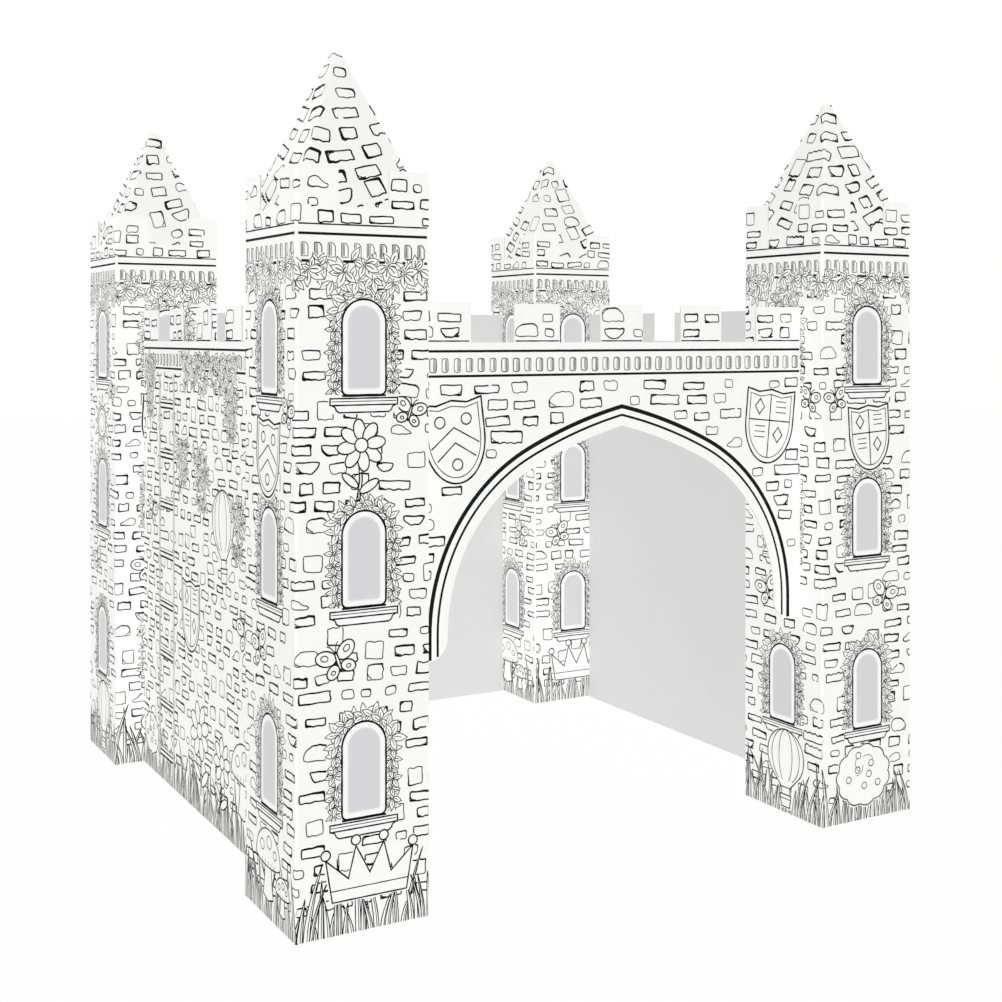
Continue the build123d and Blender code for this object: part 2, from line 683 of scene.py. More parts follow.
def round_corners(corners: Points, radius: float) -> Points:
    """Round a closed outline's corners.

    Args:
        corners: the outline's corners.
        radius: how far from a corner its curve starts.

    Returns:
        The outline, with a short curve of three points at each corner.
    """
    start = toward(corners, np.roll(corners, 1, axis=0), radius)
    end = toward(corners, np.roll(corners, -1, axis=0), radius)
    return np.stack([start, (start + end + 2 * corners) / 4, end], axis=1).reshape(-1, 2)


def roughen(line: Points, base: float, height: float, wave: float, aim: tuple[float, float],
            rng: random.Random) -> Points:
    """Give a closed line the wobble of a drawing hand, and waves on the side that faces one way.

    Args:
        line: the closed line, counter-clockwise and evenly sampled.
        base: the wobble's height all round, in millimetres.
        height: the waves' height on the side that faces along aim.
        wave: the waves' length.
        aim: a unit direction.
        rng: the source of chance.

    Returns:
        The line, moved in and out along its normals.
    """
    run = unit(np.roll(line, -1, axis=0) - np.roll(line, 1, axis=0))
    normal = np.stack([run[:, 1], -run[:, 0]], axis=1)
    steps = np.hypot(*(line - np.roll(line, 1, axis=0)).T).cumsum()
    facing = np.clip(normal @ np.array(aim), 0, 1) ** 4
    slow = np.sin(steps / (wave * 1.9) * 2 * math.pi + rng.uniform(0, 6))
    fast = np.sin(steps / wave * 2 * math.pi + rng.uniform(0, 6))
    return line + normal * (base * slow + height * facing * fast)[:, None]


# Stones

@dataclass(frozen=True)
class StoneForm:
    """A kind of printed stone. Its corners are in halves of its width and height, counter-clockwise.

    share says how often it comes, wave how rough its outline is, cracked how often it has a crack, and
    softness how round its corners are against the usual radius. Lengths are in millimetres.
    """

    corners: tuple[tuple[float, float], ...]
    width: Range
    height: Range
    pen: Pen
    share: float
    wave: float = 0.2
    cracked: float = 0.0
    softness: float = 1.0


FOUR_CORNERS = ((-1, -1), (1, -1), (1, 1), (-1, 1))


class StoneKind(Enum):
    """The kinds of stone in the print, with their usual sizes in millimetres."""

    BRICK = StoneForm(FOUR_CORNERS, (30, 43), (11, 15), Pen.LINE, 8, 0.55, 0.75)
    PLANK = StoneForm(FOUR_CORNERS, (44, 58), (13, 17), Pen.LINE, 2.2, 1.1, 0.2)
    BLOCK = StoneForm(FOUR_CORNERS, (20, 30), (13, 19), Pen.LINE, 4, 0.9, 0.3)
    SQUARE = StoneForm(FOUR_CORNERS, (24, 31), (22, 29), Pen.FINE, 2.2, 0.8, 0.4, 1.5)
    LOAF = StoneForm(((-1, -1), (1, -1), (1, 0.45), (0.7, 1), (-0.4, 1), (-0.9, 0.1)),
                     (36, 46), (19, 24), Pen.FINE, 1.4, 0.7, 0.5, 3.0)
    HILL = StoneForm(((-1, -1), (1, -1), (1, 0.5), (0.5, 1), (0, 0.9), (-0.5, -0.1), (-1, -0.35)),
                     (30, 40), (14, 19), Pen.FINE, 1.5, 0.5, 0.0, 3.0)
    LEANING = StoneForm(((-1, -1), (0.75, -1), (1, 1), (-1, 1)),
                        (25, 34), (12, 16), Pen.FINE, 1.4, 0.7, 0.0, 2.0)
    BOWL = StoneForm(((-0.5, -1), (0.4, -1), (0.9, 0), (1, 1), (-1, 1), (-0.85, 0)),
                     (28, 40), (13, 17), Pen.LINE, 1.4, 0.5, 0.4, 1.6)
    PEBBLE = StoneForm(FOUR_CORNERS, (15, 22), (11, 14), Pen.FINE, 2.4, 0.4, 0.0, 2.2)


@dataclass(frozen=True)
class Courses:
    """How rows of loose stones are laid.

    In millimetres: the rows' pitch, the gap between neighbours, the least joint and the corners' radius.
    Against the usual: the stones' scale, their line's added weight, how rough and how tall they are. The
    stones are whole where none is drawn behind something else.
    """

    pitch: Range
    gap: Range
    scale: float = 1.0
    joint: float = 8.0
    corner: float = 1.9
    weight: float = 0.8
    rough: float = 1.0
    whole: bool = False
    tall: float = 1.0


TOWER_COURSES = Courses((27, 32), (12, 26), joint=9.0)
TOWER_TOP_COURSES = Courses((24, 28), (9, 18), 0.97, 6.5, whole=True)
WALL_COURSES = Courses((25, 31), (12, 27), 1.02)
MERLON_COURSES = Courses((27, 32), (12, 22), 1.05, 8.0, whole=True)
ARCH_COURSES = Courses((25, 30), (14, 30), 1.12, 10.0, whole=True)
ROOF_COURSES = Courses((41, 46), (9, 17), 1.13, 9.0, 2.6, 1.5, 1.35, tall=1.25)


@dataclass
class Stones:
    """Loose rows of irregular stones, drawn round whatever is on the panel already.

    Lengths are in millimetres, lean in radians, and broken is the share of outlines that don't close.
    """

    drawing: Drawing
    courses: Courses
    laid: list[tuple[float, float, float, float]] = field(default_factory=list)
    step: float = 3.1
    wobble: float = 0.36
    wave_length: Range = (12.0, 17.0)
    broken: float = 0.1
    lean: float = 0.035
    drift: float = 2.0
    look_back: float = 60.0

    def is_clear(self, u: float, v: float, width: float, height: float) -> bool:
        """Say whether a stone keeps its joint to those that are laid.

        Args:
            u: its middle, across.
            v: its middle, up.
            width: its width.
            height: its height.

        Returns:
            True where it does.
        """
        joint = self.courses.joint
        for other_u, other_v, other_width, other_height in self.laid:
            beside = abs(u - other_u) < (width + other_width) / 2 + joint
            if beside and abs(v - other_v) < (height + other_height) / 2 + joint:
                return False
        return True

    def outline(self, form: StoneForm, width: float, height: float) -> Points:
        """Give a stone's outline about its own middle.

        Args:
            form: its kind.
            width: its width.
            height: its height.

        Returns:
            The closed outline, counter-clockwise.
        """
        rng = self.drawing.rng
        corners = np.array(form.corners, float)
        if rng.random() < 0.5:
            corners = corners[::-1] * np.array([-1, 1])
        corners += np.array([[rng.uniform(-0.05, 0.05), rng.uniform(-0.11, 0.11)] for _ in corners])
        corners *= np.array([width / 2, height / 2])
        radius = rng.uniform(0.7, 1.4) * self.courses.corner * form.softness
        line = resample(round_corners(corners, radius), self.step, True)
        aim = rng.choice(((0, 1), (0, -1), (0, -1), (1, 0)))
        wave = form.wave * self.courses.rough * rng.uniform(0.6, 1.2)
        return roughen(line, self.wobble, wave, rng.uniform(*self.wave_length) * self.courses.scale, aim, rng)

    def draw(self, form: StoneForm, outline: Points) -> None:
        """Draw one stone's outline with its weight and its breaks.

        Args:
            form: its kind.
            outline: its closed outline.
        """
        rng = self.drawing.rng
        heavy = rng.choices((None, (0.15, 1), (-0.6, -1)), (4, 5, 3))[0]
        if rng.random() < self.broken:
            start = rng.randrange(len(outline))
            outline = np.roll(outline, start, axis=0)[: -rng.randint(1, 2)]
            self.drawing.stroke(outline, form.pen, False, heavy, self.courses.weight)
        else:
            self.drawing.stroke(outline, form.pen, True, heavy, self.courses.weight)

    def crack(self, form: StoneForm, at: Points, width: float, height: float, tilt: float) -> None:
        """Draw a short crack that runs in from a corner. A dark stone has a wedge along the edge there.

        Args:
            form: the stone's kind.
            at: its middle.
            width: its width.
            height: its height.
            tilt: its turn in radians.
        """
        rng = self.drawing.rng
        flip = np.array([rng.choice((-1, -1, 1)), rng.choice((-1, -1, 1))])
        length = min(width, 2.2 * height)
        marks = [(Pen.FINE, [(0.5, 0.05), (0.4, 0.28), (0.22, 0.45)])]
        if form.pen is Pen.LINE:
            marks.append((Pen.FIRM, [(0.5, 0.4), (0.42, 0.47), (0.16, 0.45)]))
        for pen, points in marks:
            inward = np.array([width - length, 0]) / 2
            spread = (np.array(points) * np.array([length, height]) + inward) * flip
            self.drawing.stroke(rotate(spread, tilt) + at, pen)

    def fill(self, low: tuple[float, float], high: tuple[float, float], row: Row | None = None) -> None:
        """Fill a part of the panel with rows of stones.

        Args:
            low: the lower left corner of the part.
            high: the upper right corner of the part.
            row: the rows' shape, where they aren't level.
        """
        rng = self.drawing.rng
        courses = self.courses
        forms = [kind.value for kind in StoneKind]
        shares = [form.share for form in forms]
        self.laid.clear()
        v = low[1] + rng.uniform(2, 6)
        while v < high[1]:
            u = low[0] - rng.uniform(0, 30)
            while u < high[0]:
                form = rng.choices(forms, shares)[0]
                width = courses.scale * rng.uniform(*form.width)
                height = courses.scale * courses.tall * rng.uniform(*form.height)
                spot = (u + width / 2, v + height / 2 + rng.uniform(-self.drift, self.drift))
                rise, slope = row(spot[0]) if row else (0.0, 0.0)
                at = np.array([spot[0], spot[1] + rise])
                tilt = slope + rng.gauss(0, self.lean)
                outline = rotate(self.outline(form, width, height), tilt) + at
                fits = not courses.whole or self.drawing.shown(outline).all()
                if fits and self.is_clear(*spot, width, height):
                    self.laid.append((*spot, width, height))
                    self.draw(form, outline)
                    if rng.random() < form.cracked:
                        self.crack(form, at, width, height, tilt)
                    u += width + rng.uniform(*courses.gap)
                else:
                    u += courses.joint
            v += rng.uniform(*courses.pitch)
            self.laid = [stone for stone in self.laid if stone[1] > v - self.look_back]


# Leaves and grass

@dataclass
class Foliage:
    """Leaves, garlands, wreaths, hanging vines and grass. Sizes are in millimetres."""

    drawing: Drawing
    stalk: float = 1.6
    swag_pitch: float = 33.0
    swag_leaf: Range = (26.0, 33.0)
    swag_upper_leaf: Range = (20.0, 28.0)
    swag_stray_leaf: Range = (18.0, 27.0)
    swag_lower_leaf: Range = (18.0, 26.0)
    rule_end: float = 3.5
    wreath_fans: int = 9
    wreath_leaf: Range = (19.0, 26.0)
    wreath_pitch: float = 15.5
    wreath_side_leaf: Range = (14.0, 19.0)
    wreath_cover: float = 15.0
    vine_pitch: float = 19.0
    vine_leaf: Range = (21.0, 33.0)
    blade_breadth: Range = (3.2, 5.4)

    def leaf(self, u: float, v: float, angle: float, length: float, plump: float = 0.38,
             rib: Pen = Pen.THREAD) -> None:
        """Draw a pointed leaf.

        Args:
            u: where its stalk is, across.
            v: where its stalk is, up.
            angle: the way it grows, in radians.
            length: its length.
            plump: its breadth, as a share of its length.
            rib: the width of its midrib.
        """
        way = np.array([math.cos(angle), math.sin(angle)])
        start = np.array([u, v]) + self.stalk * way
        shares = np.linspace(0, 1, 7)
        swell = np.sin(math.pi * shares ** 0.85) * plump * length / 2
        upper = np.stack([shares * length, swell], axis=1)
        lower = np.stack([shares * length, -swell], axis=1)[::-1][1:-1]
        self.drawing.stroke(rotate(np.vstack([upper, lower]), angle) + start, Pen.HAIR, True)
        vein = np.array([[0.1, 0], [0.36, 0.03], [0.62, 0]]) * length
        self.drawing.stroke(rotate(vein, angle) + start, rib)
        middle = start + 0.5 * length * way
        self.drawing.hide(Oval(middle[0], middle[1], length * 0.48, plump * length * 0.47, angle))

    def palm(self, u: float, v: float, aim: float, length: float, fingers: int, spread: float,
             rib: Pen = Pen.THREAD, plump: float = 0.4) -> None:
        """Draw a fan of leaves from one point, with angles in radians.

        Args:
            u: where the point is, across.
            v: where it is, up.
            aim: the fan's middle direction.
            length: the longest leaf's length.
            fingers: number of leaves.
            spread: the angle from the first leaf to the last.
            rib: the width of their midribs.
            plump: their breadth, as a share of their length.
        """
        rng = self.drawing.rng
        order = list(range(fingers))
        rng.shuffle(order)
        for index in order:
            share = index / (fingers - 1) - 0.5
            size = length * (1 - 0.35 * abs(share)) * rng.uniform(0.88, 1.08)
            angle = aim + share * spread + rng.gauss(0, 0.13)
            self.leaf(u, v, angle, size, plump * rng.uniform(0.92, 1.08), rib)

    def garland(self, left: float, right: float, top: float, depth: float) -> None:
        """Hang fans of broad leaves in a swag along a panel's top.

        Args:
            left: where the swag starts.
            right: where it ends.
            top: the height of the fans' stalks.
            depth: how far below them the lower fans hang.
        """
        rng = self.drawing.rng
        count = round((right - left) / self.swag_pitch)
        pitch = (right - left) / count
        for index in range(count):
            u = left + (index + 0.5) * pitch + rng.uniform(-9, 9)
            v = top + rng.uniform(-17, 4)
            lean = rng.choice((-1, 1))
            aim = lean * rng.uniform(0.1, 0.9) - math.pi / 2
            self.palm(u, v, aim, rng.uniform(*self.swag_leaf), rng.choice((3, 4, 4)), rng.uniform(2.0, 2.9),
                      Pen.FINE, 0.5)
            u, v = u + lean * rng.uniform(3, 8), v - rng.uniform(0, 5)
            aim = math.pi / 2 - lean * rng.uniform(0, 0.8)
            self.palm(u, v, aim, rng.uniform(*self.swag_upper_leaf), 3, rng.uniform(1.5, 2.3), Pen.FINE, 0.46)
        for _ in range(3 * count):
            spot = (rng.uniform(left, right), top - depth * rng.uniform(-0.05, 0.75))
            angle = rng.uniform(-math.pi, math.pi)
            self.leaf(*spot, angle, rng.uniform(*self.swag_stray_leaf), 0.46, Pen.HAIR)
        for index in range(count + 1):
            u = left + index * pitch + rng.uniform(-8, 8)
            v = top - depth * rng.uniform(0.25, 0.75)
            aim = -math.pi / 2 + rng.gauss(0, 0.5)
            size = rng.uniform(*self.swag_lower_leaf)
            self.palm(u, v, aim, size, 4, rng.uniform(2.4, 3.6), Pen.THREAD, 0.46)
        self.drawing.stroke([(left + self.rule_end, top), (right - self.rule_end, top)], Pen.RULE)
        self.drawing.hide(Block((left + right) / 2, top - 0.35 * depth, (right - left) / 2, 0.45 * depth))

    def wreath(self, u: float, bottom: float, half: float, height: float) -> None:
        """Draw ivy round the head and sides of a window.

        Args:
            u: the window's middle.
            bottom: the window's sill height.
            half: half the window's width.
            height: the window's height.
        """
        rng = self.drawing.rng
        spring = bottom + height - half
        for angle in np.linspace(8, 172, self.wreath_fans):
            turn = math.radians(angle)
            way = np.array([math.cos(turn), math.sin(turn)])
            spot = np.array([u, spring]) + (half + rng.uniform(7, 11)) * way
            aim = turn + rng.gauss(0, 0.25)
            self.palm(*spot, aim, rng.uniform(*self.wreath_leaf), 5, 4.2, Pen.THREAD, 0.46)
        for level in np.arange(spring - 12, bottom + 4, -self.wreath_pitch):
            for side in (-1, 1):
                stalk = u + side * (half + rng.uniform(8, 14))
                down = -math.pi / 2 + side * rng.uniform(0.05, 0.5)
                rise = level + rng.uniform(-3, 3)
                self.palm(stalk, rise, down, rng.uniform(*self.wreath_side_leaf), 5, 4.4, Pen.THREAD, 0.48)
        middle = bottom + (height + 14) / 2
        self.drawing.hide(Block(u, middle, half + self.wreath_cover, (height + 14) / 2 + 3, True))

    def vine(self, u: float, top: float, length: float, width: float) -> None:
        """Hang a wide tuft of leafy vine on a panel.

        Args:
            u: its middle.
            top: its height.
            length: how far it hangs.
            width: its width at the top.
        """
        rng = self.drawing.rng
        count = max(3, round(length / self.vine_pitch))
        for index in range(count):
            share = index / count
            middle = u + 0.12 * width * math.sin(index * 1.7 + u)
            for side in (-1, 0, 1) if share < 0.5 else (-1, 1):
                spot = middle + (side * 0.34 * (1 - 0.7 * share) + rng.uniform(-0.09, 0.09)) * width
                size = rng.uniform(*self.vine_leaf) * (1 - 0.25 * share)
                down = -math.pi / 2 + side * rng.uniform(-0.2, 0.5) + rng.gauss(0, 0.2)
                level = top - share * length + rng.uniform(-9, 9)
                self.palm(spot, level, down, size, 5, rng.uniform(3.2, 4.6))

    def grass(self, left: float, right: float, heights: Range, pitch: float) -> None:
        """Draw tufts of long bent blades along a panel's foot.

        Args:
            left: where the tufts start.
            right: where they end.
            heights: the least and the greatest height of a blade.
            pitch: the distance between blades.
        """
        rng = self.drawing.rng
        spots = np.arange(left, right, pitch)
        order = list(range(len(spots)))
        rng.shuffle(order)
        shares = np.linspace(0, 1, 6)
        for index in order:
            foot = spots[index] + rng.uniform(-0.4, 0.4) * pitch
            height = rng.uniform(*heights) * (0.7 + 0.4 * math.sin(index * 0.9) ** 2)
            bend = rng.gauss(0, 0.24) * height
            breadth = rng.uniform(*self.blade_breadth)
            spine = np.stack([foot + bend * shares ** 1.6, height * shares], axis=1)
            swell = np.stack([breadth * (1 - shares ** 2), np.zeros(6)], axis=1)
            self.drawing.stroke(np.vstack([spine - swell, (spine + swell)[::-1][1:]]), Pen.FINE)
            self.drawing.stroke(spine[:-1] + np.array([0.2 * breadth, 0]), Pen.HAIR)
            for share in (0.2, 0.5, 0.78):
                middle = np.array([foot + bend * share ** 1.6, height * share])
                lean = math.atan2(height, 1.6 * bend * share ** 0.6)
                self.drawing.hide(Oval(middle[0], middle[1], height * 0.2, breadth * (1 - share ** 2), lean))


# Motifs

class Motif(Enum):
    """Plain figures printed between the stones."""

    CHEVRON_SHIELD = "chevron_shield"
    QUARTERED_SHIELD = "quartered_shield"
    DAISY = "daisy"
    SUN = "sun"
    TOADSTOOLS = "toadstools"
    BUTTERFLY = "butterfly"
    BALLOON = "balloon"
    CROWN = "crown"
    BUSH = "bush"


@dataclass(frozen=True)
class Spot:
    """Where a motif stands on a panel: its middle and half its height, in millimetres, and its turn."""

    motif: Motif
    u: float
    v: float
    size: float
    tilt: float = 0.0


@dataclass
class Figures:
    """Draws the motifs in outlines, at any place and size."""

    drawing: Drawing
    at: tuple[float, float] = (0.0, 0.0)
    size: float = 60.0
    tilt: float = 0.0

    def put(self, points: Line) -> Points:
        """Move a figure's own points, which reach about one unit each way, to its place."""
        return rotate(np.asarray(points, float) * self.size, self.tilt) + np.array(self.at)

    def line(self, points: Line, pen: Pen = Pen.LINE, closed: bool = False) -> None:
        """Draw part of the figure."""
        self.drawing.stroke(self.put(points), pen, closed)

    def solid(self, u: float, v: float, along: float, across: float, tilt: float = 0.0, pen: Pen = Pen.LINE,
              count: int = 28) -> None:
        """Draw an oval part that hides what is behind it."""
        self.line(oval(u, v, along, across, tilt, count), pen, True)
        self.mask(u, v, along, across, tilt)

    def mask(self, u: float, v: float, along: float, across: float, tilt: float = 0.0) -> None:
        """Hide what comes later behind an oval part of the figure."""
        spot = self.put(np.array([[u, v]]))[0]
        self.drawing.hide(Oval(spot[0], spot[1], along * self.size, across * self.size, tilt + self.tilt))

    def cut(self, outline: Line) -> None:
        """Hide what comes later behind an outline of the figure."""
        self.drawing.hide(Cutout(self.put(outline)))

    def draw(self, spot: Spot, middle: float = 0.0, side: int = 1) -> None:
        """Draw a motif at its place on the panel.

        Args:
            spot: the motif and its place.
            middle: where the place is measured from, across.
            side: -1 for a place that is mirrored about the middle.
        """
        self.at, self.size, self.tilt = (middle + side * spot.u, spot.v), spot.size, spot.tilt
        getattr(self, spot.motif.value)()

    def shield(self) -> Points:
        """Draw a heater shield's double rim.

        Returns:
            An outline a little outside the rim.
        """
        turn = np.linspace(0, math.pi / 2, 12)
        right = np.stack([0.78 * np.cos(turn), 0.1 - 1.08 * np.sin(turn)], axis=1)
        left = right[::-1] * np.array([-1, 1])
        top = np.array([(-0.78, 0.92), (-0.4, 0.84), (0, 0.92), (0.4, 0.84), (0.78, 0.92)])
        rim = np.vstack([top, right, left[1:]])
        self.line(rim, Pen.FIRM, True)
        self.line(rim * 0.86, Pen.FINE, True)
        return rim * 1.05

    def chevron_shield(self) -> None:
        """Draw a shield with a chevron and three discs."""
        outline = self.shield()
        self.line([(-0.62, -0.12), (0, 0.3), (0.62, -0.12)])
        self.line([(-0.5, -0.42), (0, -0.05), (0.5, -0.42)])
        for u, v in ((-0.34, 0.46), (0.34, 0.46), (0, -0.55)):
            self.line(oval(u, v, 0.13, 0.13), Pen.LINE, True)
        self.cut(outline)

    def quartered_shield(self) -> None:
        """Draw a shield in four quarters, two of them with lozenges and two with bars."""
        outline = self.shield()
        self.line([(0, 0.78), (0, -0.84)])
        self.line([(-0.67, 0.12), (0.67, 0.12)])
        for u, v in ((-0.35, 0.46), (0.3, -0.24)):
            self.line([(u - 0.15, v), (u, v + 0.2), (u + 0.15, v), (u, v - 0.2)], Pen.LINE, True)
        for u, v in ((0.35, 0.46), (-0.3, -0.2)):
            for rise in (-0.12, 0.02, 0.16):
                self.line([(u - 0.17, v + rise), (u + 0.17, v + rise)], Pen.FINE)
        self.cut(outline)

    def daisy(self) -> None:
        """Draw a daisy with round petals, a stem and two leaves."""
        self.solid(0, 0.35, 0.17, 0.17)
        for index in range(8):
            turn = index * math.pi / 4 + 0.2
            self.solid(0.38 * math.cos(turn), 0.35 + 0.38 * math.sin(turn), 0.25, 0.15, turn)
        self.solid(0.26, -0.62, 0.28, 0.11, 0.6)
        self.solid(-0.24, -0.5, 0.26, 0.1, 2.5)
        self.line([(-0.04, -0.1), (0.0, -0.5), (-0.05, -1)])
        self.line([(0.04, -0.1), (0.07, -0.5), (0.03, -1)])

    def sun(self) -> None:
        """Draw a sun: a ringed disc with pointed rays."""
        self.line(oval(0, 0, 0.3, 0.3, 0, 28), Pen.FINE, True)
        self.solid(0, 0, 0.48, 0.48)
        for index in range(12):
            turn = index * math.pi / 6
            reach = 0.98 if index % 2 else 0.82
            ray = np.array([(0.55, -0.12), (reach, 0.0), (0.55, 0.12)])
            self.line(rotate(ray, turn), Pen.LINE, True)
        self.mask(0, 0, 0.9, 0.9)

    def toadstool(self, u: float, v: float, scale: float) -> None:
        """Draw a toadstool: a spotted cap with gills on a bulging stem.

        Args:
            u: its middle, across.
            v: its cap's rim, up.
            scale: its size.
        """
        cap = np.vstack([oval(0, 0, 0.62, 0.55, 0, 40)[:21], oval(0, 0, 0.62, 0.14, 0, 40)[21:]])
        shift = np.array([u, v])
        self.line(cap * scale + shift, Pen.LINE, True)
        for spot_u, spot_v, radius in ((-0.3, 0.2, 0.1), (0.05, 0.32, 0.12), (0.34, 0.16, 0.08)):
            dot = oval(0, 0, radius, radius, 0, 12) * scale + np.array([spot_u, spot_v]) * scale
            self.line(dot + shift, Pen.FINE, True)
        for gill in (-0.32, -0.16, 0.0, 0.16, 0.32):
            self.line(np.array([(gill, -0.03), (gill * 0.8, -0.12)]) * scale + shift, Pen.HAIR)
        self.cut(cap * scale * 1.04 + shift)
        left = [(-0.16, -0.12), (-0.2, -0.45), (-0.26, -0.68)]
        right = [(-u, v) for u, v in left[::-1]]
        stem = np.array([*left, (0, -0.76), *right]) * scale + shift
        self.line(stem)
        self.cut(stem)

    def toadstools(self) -> None:
        """Draw a large toadstool and a small one beside it."""
        self.toadstool(-0.18, 0.1, 1.1)
        self.toadstool(0.62, -0.36, 0.6)

    def butterfly(self) -> None:
        """Draw a butterfly with spotted wings and curled feelers."""
        self.solid(0, 0, 0.07, 0.42, 0, Pen.LINE, 16)
        for side in (-1, 1):
            self.line(oval(side * 0.52, 0.36, 0.16, 0.12, side * 0.5, 12), Pen.FINE, True)
            self.line(oval(side * 0.36, -0.36, 0.1, 0.08, 0, 10), Pen.FINE, True)
            self.solid(side * 0.47, 0.32, 0.46, 0.32, side * 0.5)
            self.solid(side * 0.36, -0.34, 0.33, 0.25, -side * 0.6)
            self.line([(side * 0.03, 0.4), (side * 0.12, 0.66), (side * 0.26, 0.78)], Pen.FINE)

    def balloon(self) -> None:
        """Draw a hot-air balloon with gores and a basket."""
        envelope = np.vstack([arc(0, 0.3, 0.66, -40, 220, 34), np.array([(-0.16, -0.46), (0.16, -0.46)])])
        self.line(envelope, Pen.LINE, True)
        for half in (0.22, 0.46):
            for side in (-1, 1):
                turn = np.radians(np.linspace(-62, 88, 14))
                gore = np.stack([side * half * np.cos(turn) * 1.1, 0.3 + 0.66 * np.sin(turn)], axis=1)
                self.line(gore, Pen.FINE)
        for u in (-0.14, 0.14):
            self.line([(u, -0.46), (u, -0.64)], Pen.FINE)
        self.line([(-0.2, -0.64), (0.2, -0.64), (0.15, -0.94), (-0.15, -0.94)], Pen.LINE, True)
        self.line([(-0.18, -0.74), (0.18, -0.74)], Pen.FINE)
        self.cut(envelope * 1.03)
        self.cut([(-0.16, -0.44), (0.16, -0.44), (0.2, -0.96), (-0.2, -0.96)])

    def crown(self) -> None:
        """Draw a crown with five points."""
        rim = [(-0.8, -0.42), (0.8, -0.42), (0.94, 0.42), (0.46, 0.0), (0.3, 0.62), (0, 0.05), (-0.3, 0.62),
               (-0.46, 0.0), (-0.94, 0.42)]
        self.line(rim, Pen.LINE, True)
        self.line([(-0.83, -0.2), (0.83, -0.2)], Pen.FINE)
        self.cut(np.array(rim) * 1.05)
        for u, v in ((-0.94, 0.52), (-0.3, 0.73), (0.3, 0.73), (0.94, 0.52)):
            self.solid(u, v, 0.1, 0.1, 0, Pen.LINE, 12)
        for u in (-0.5, 0.0, 0.5):
            self.line(oval(u, -0.31, 0.08, 0.06, 0, 10), Pen.FINE, True)

    def bush(self) -> None:
        """Draw a round bush of lobes with berries."""
        turn = np.linspace(0, 2 * math.pi, 97)[:-1]
        radius = 0.8 + 0.07 * np.abs(np.sin(turn * 5.5))
        lobes = np.stack([radius * np.cos(turn), radius * 0.86 * np.sin(turn)], axis=1)
        self.line(lobes, Pen.LINE, True)
        for index in range(7):
            angle = index * 2.4
            reach = 0.18 + 0.075 * index
            berry = oval(reach * math.cos(angle), reach * 0.8 * math.sin(angle), 0.08, 0.08, 0, 12)
            self.line(berry, Pen.FINE, True)
        for start in (20, 140, 260):
            self.line(arc(0.3 * math.cos(start), 0.3 * math.sin(start), 0.2, start, start + 110, 8), Pen.HAIR)
        self.cut(lobes * 1.04)


# Masonry details

# A ladder's rung: its lines' heights in millimetres, and their pens
RUNG_LINES = ((-8, Pen.RULE), (2, Pen.FIRM), (9, Pen.HAIR))


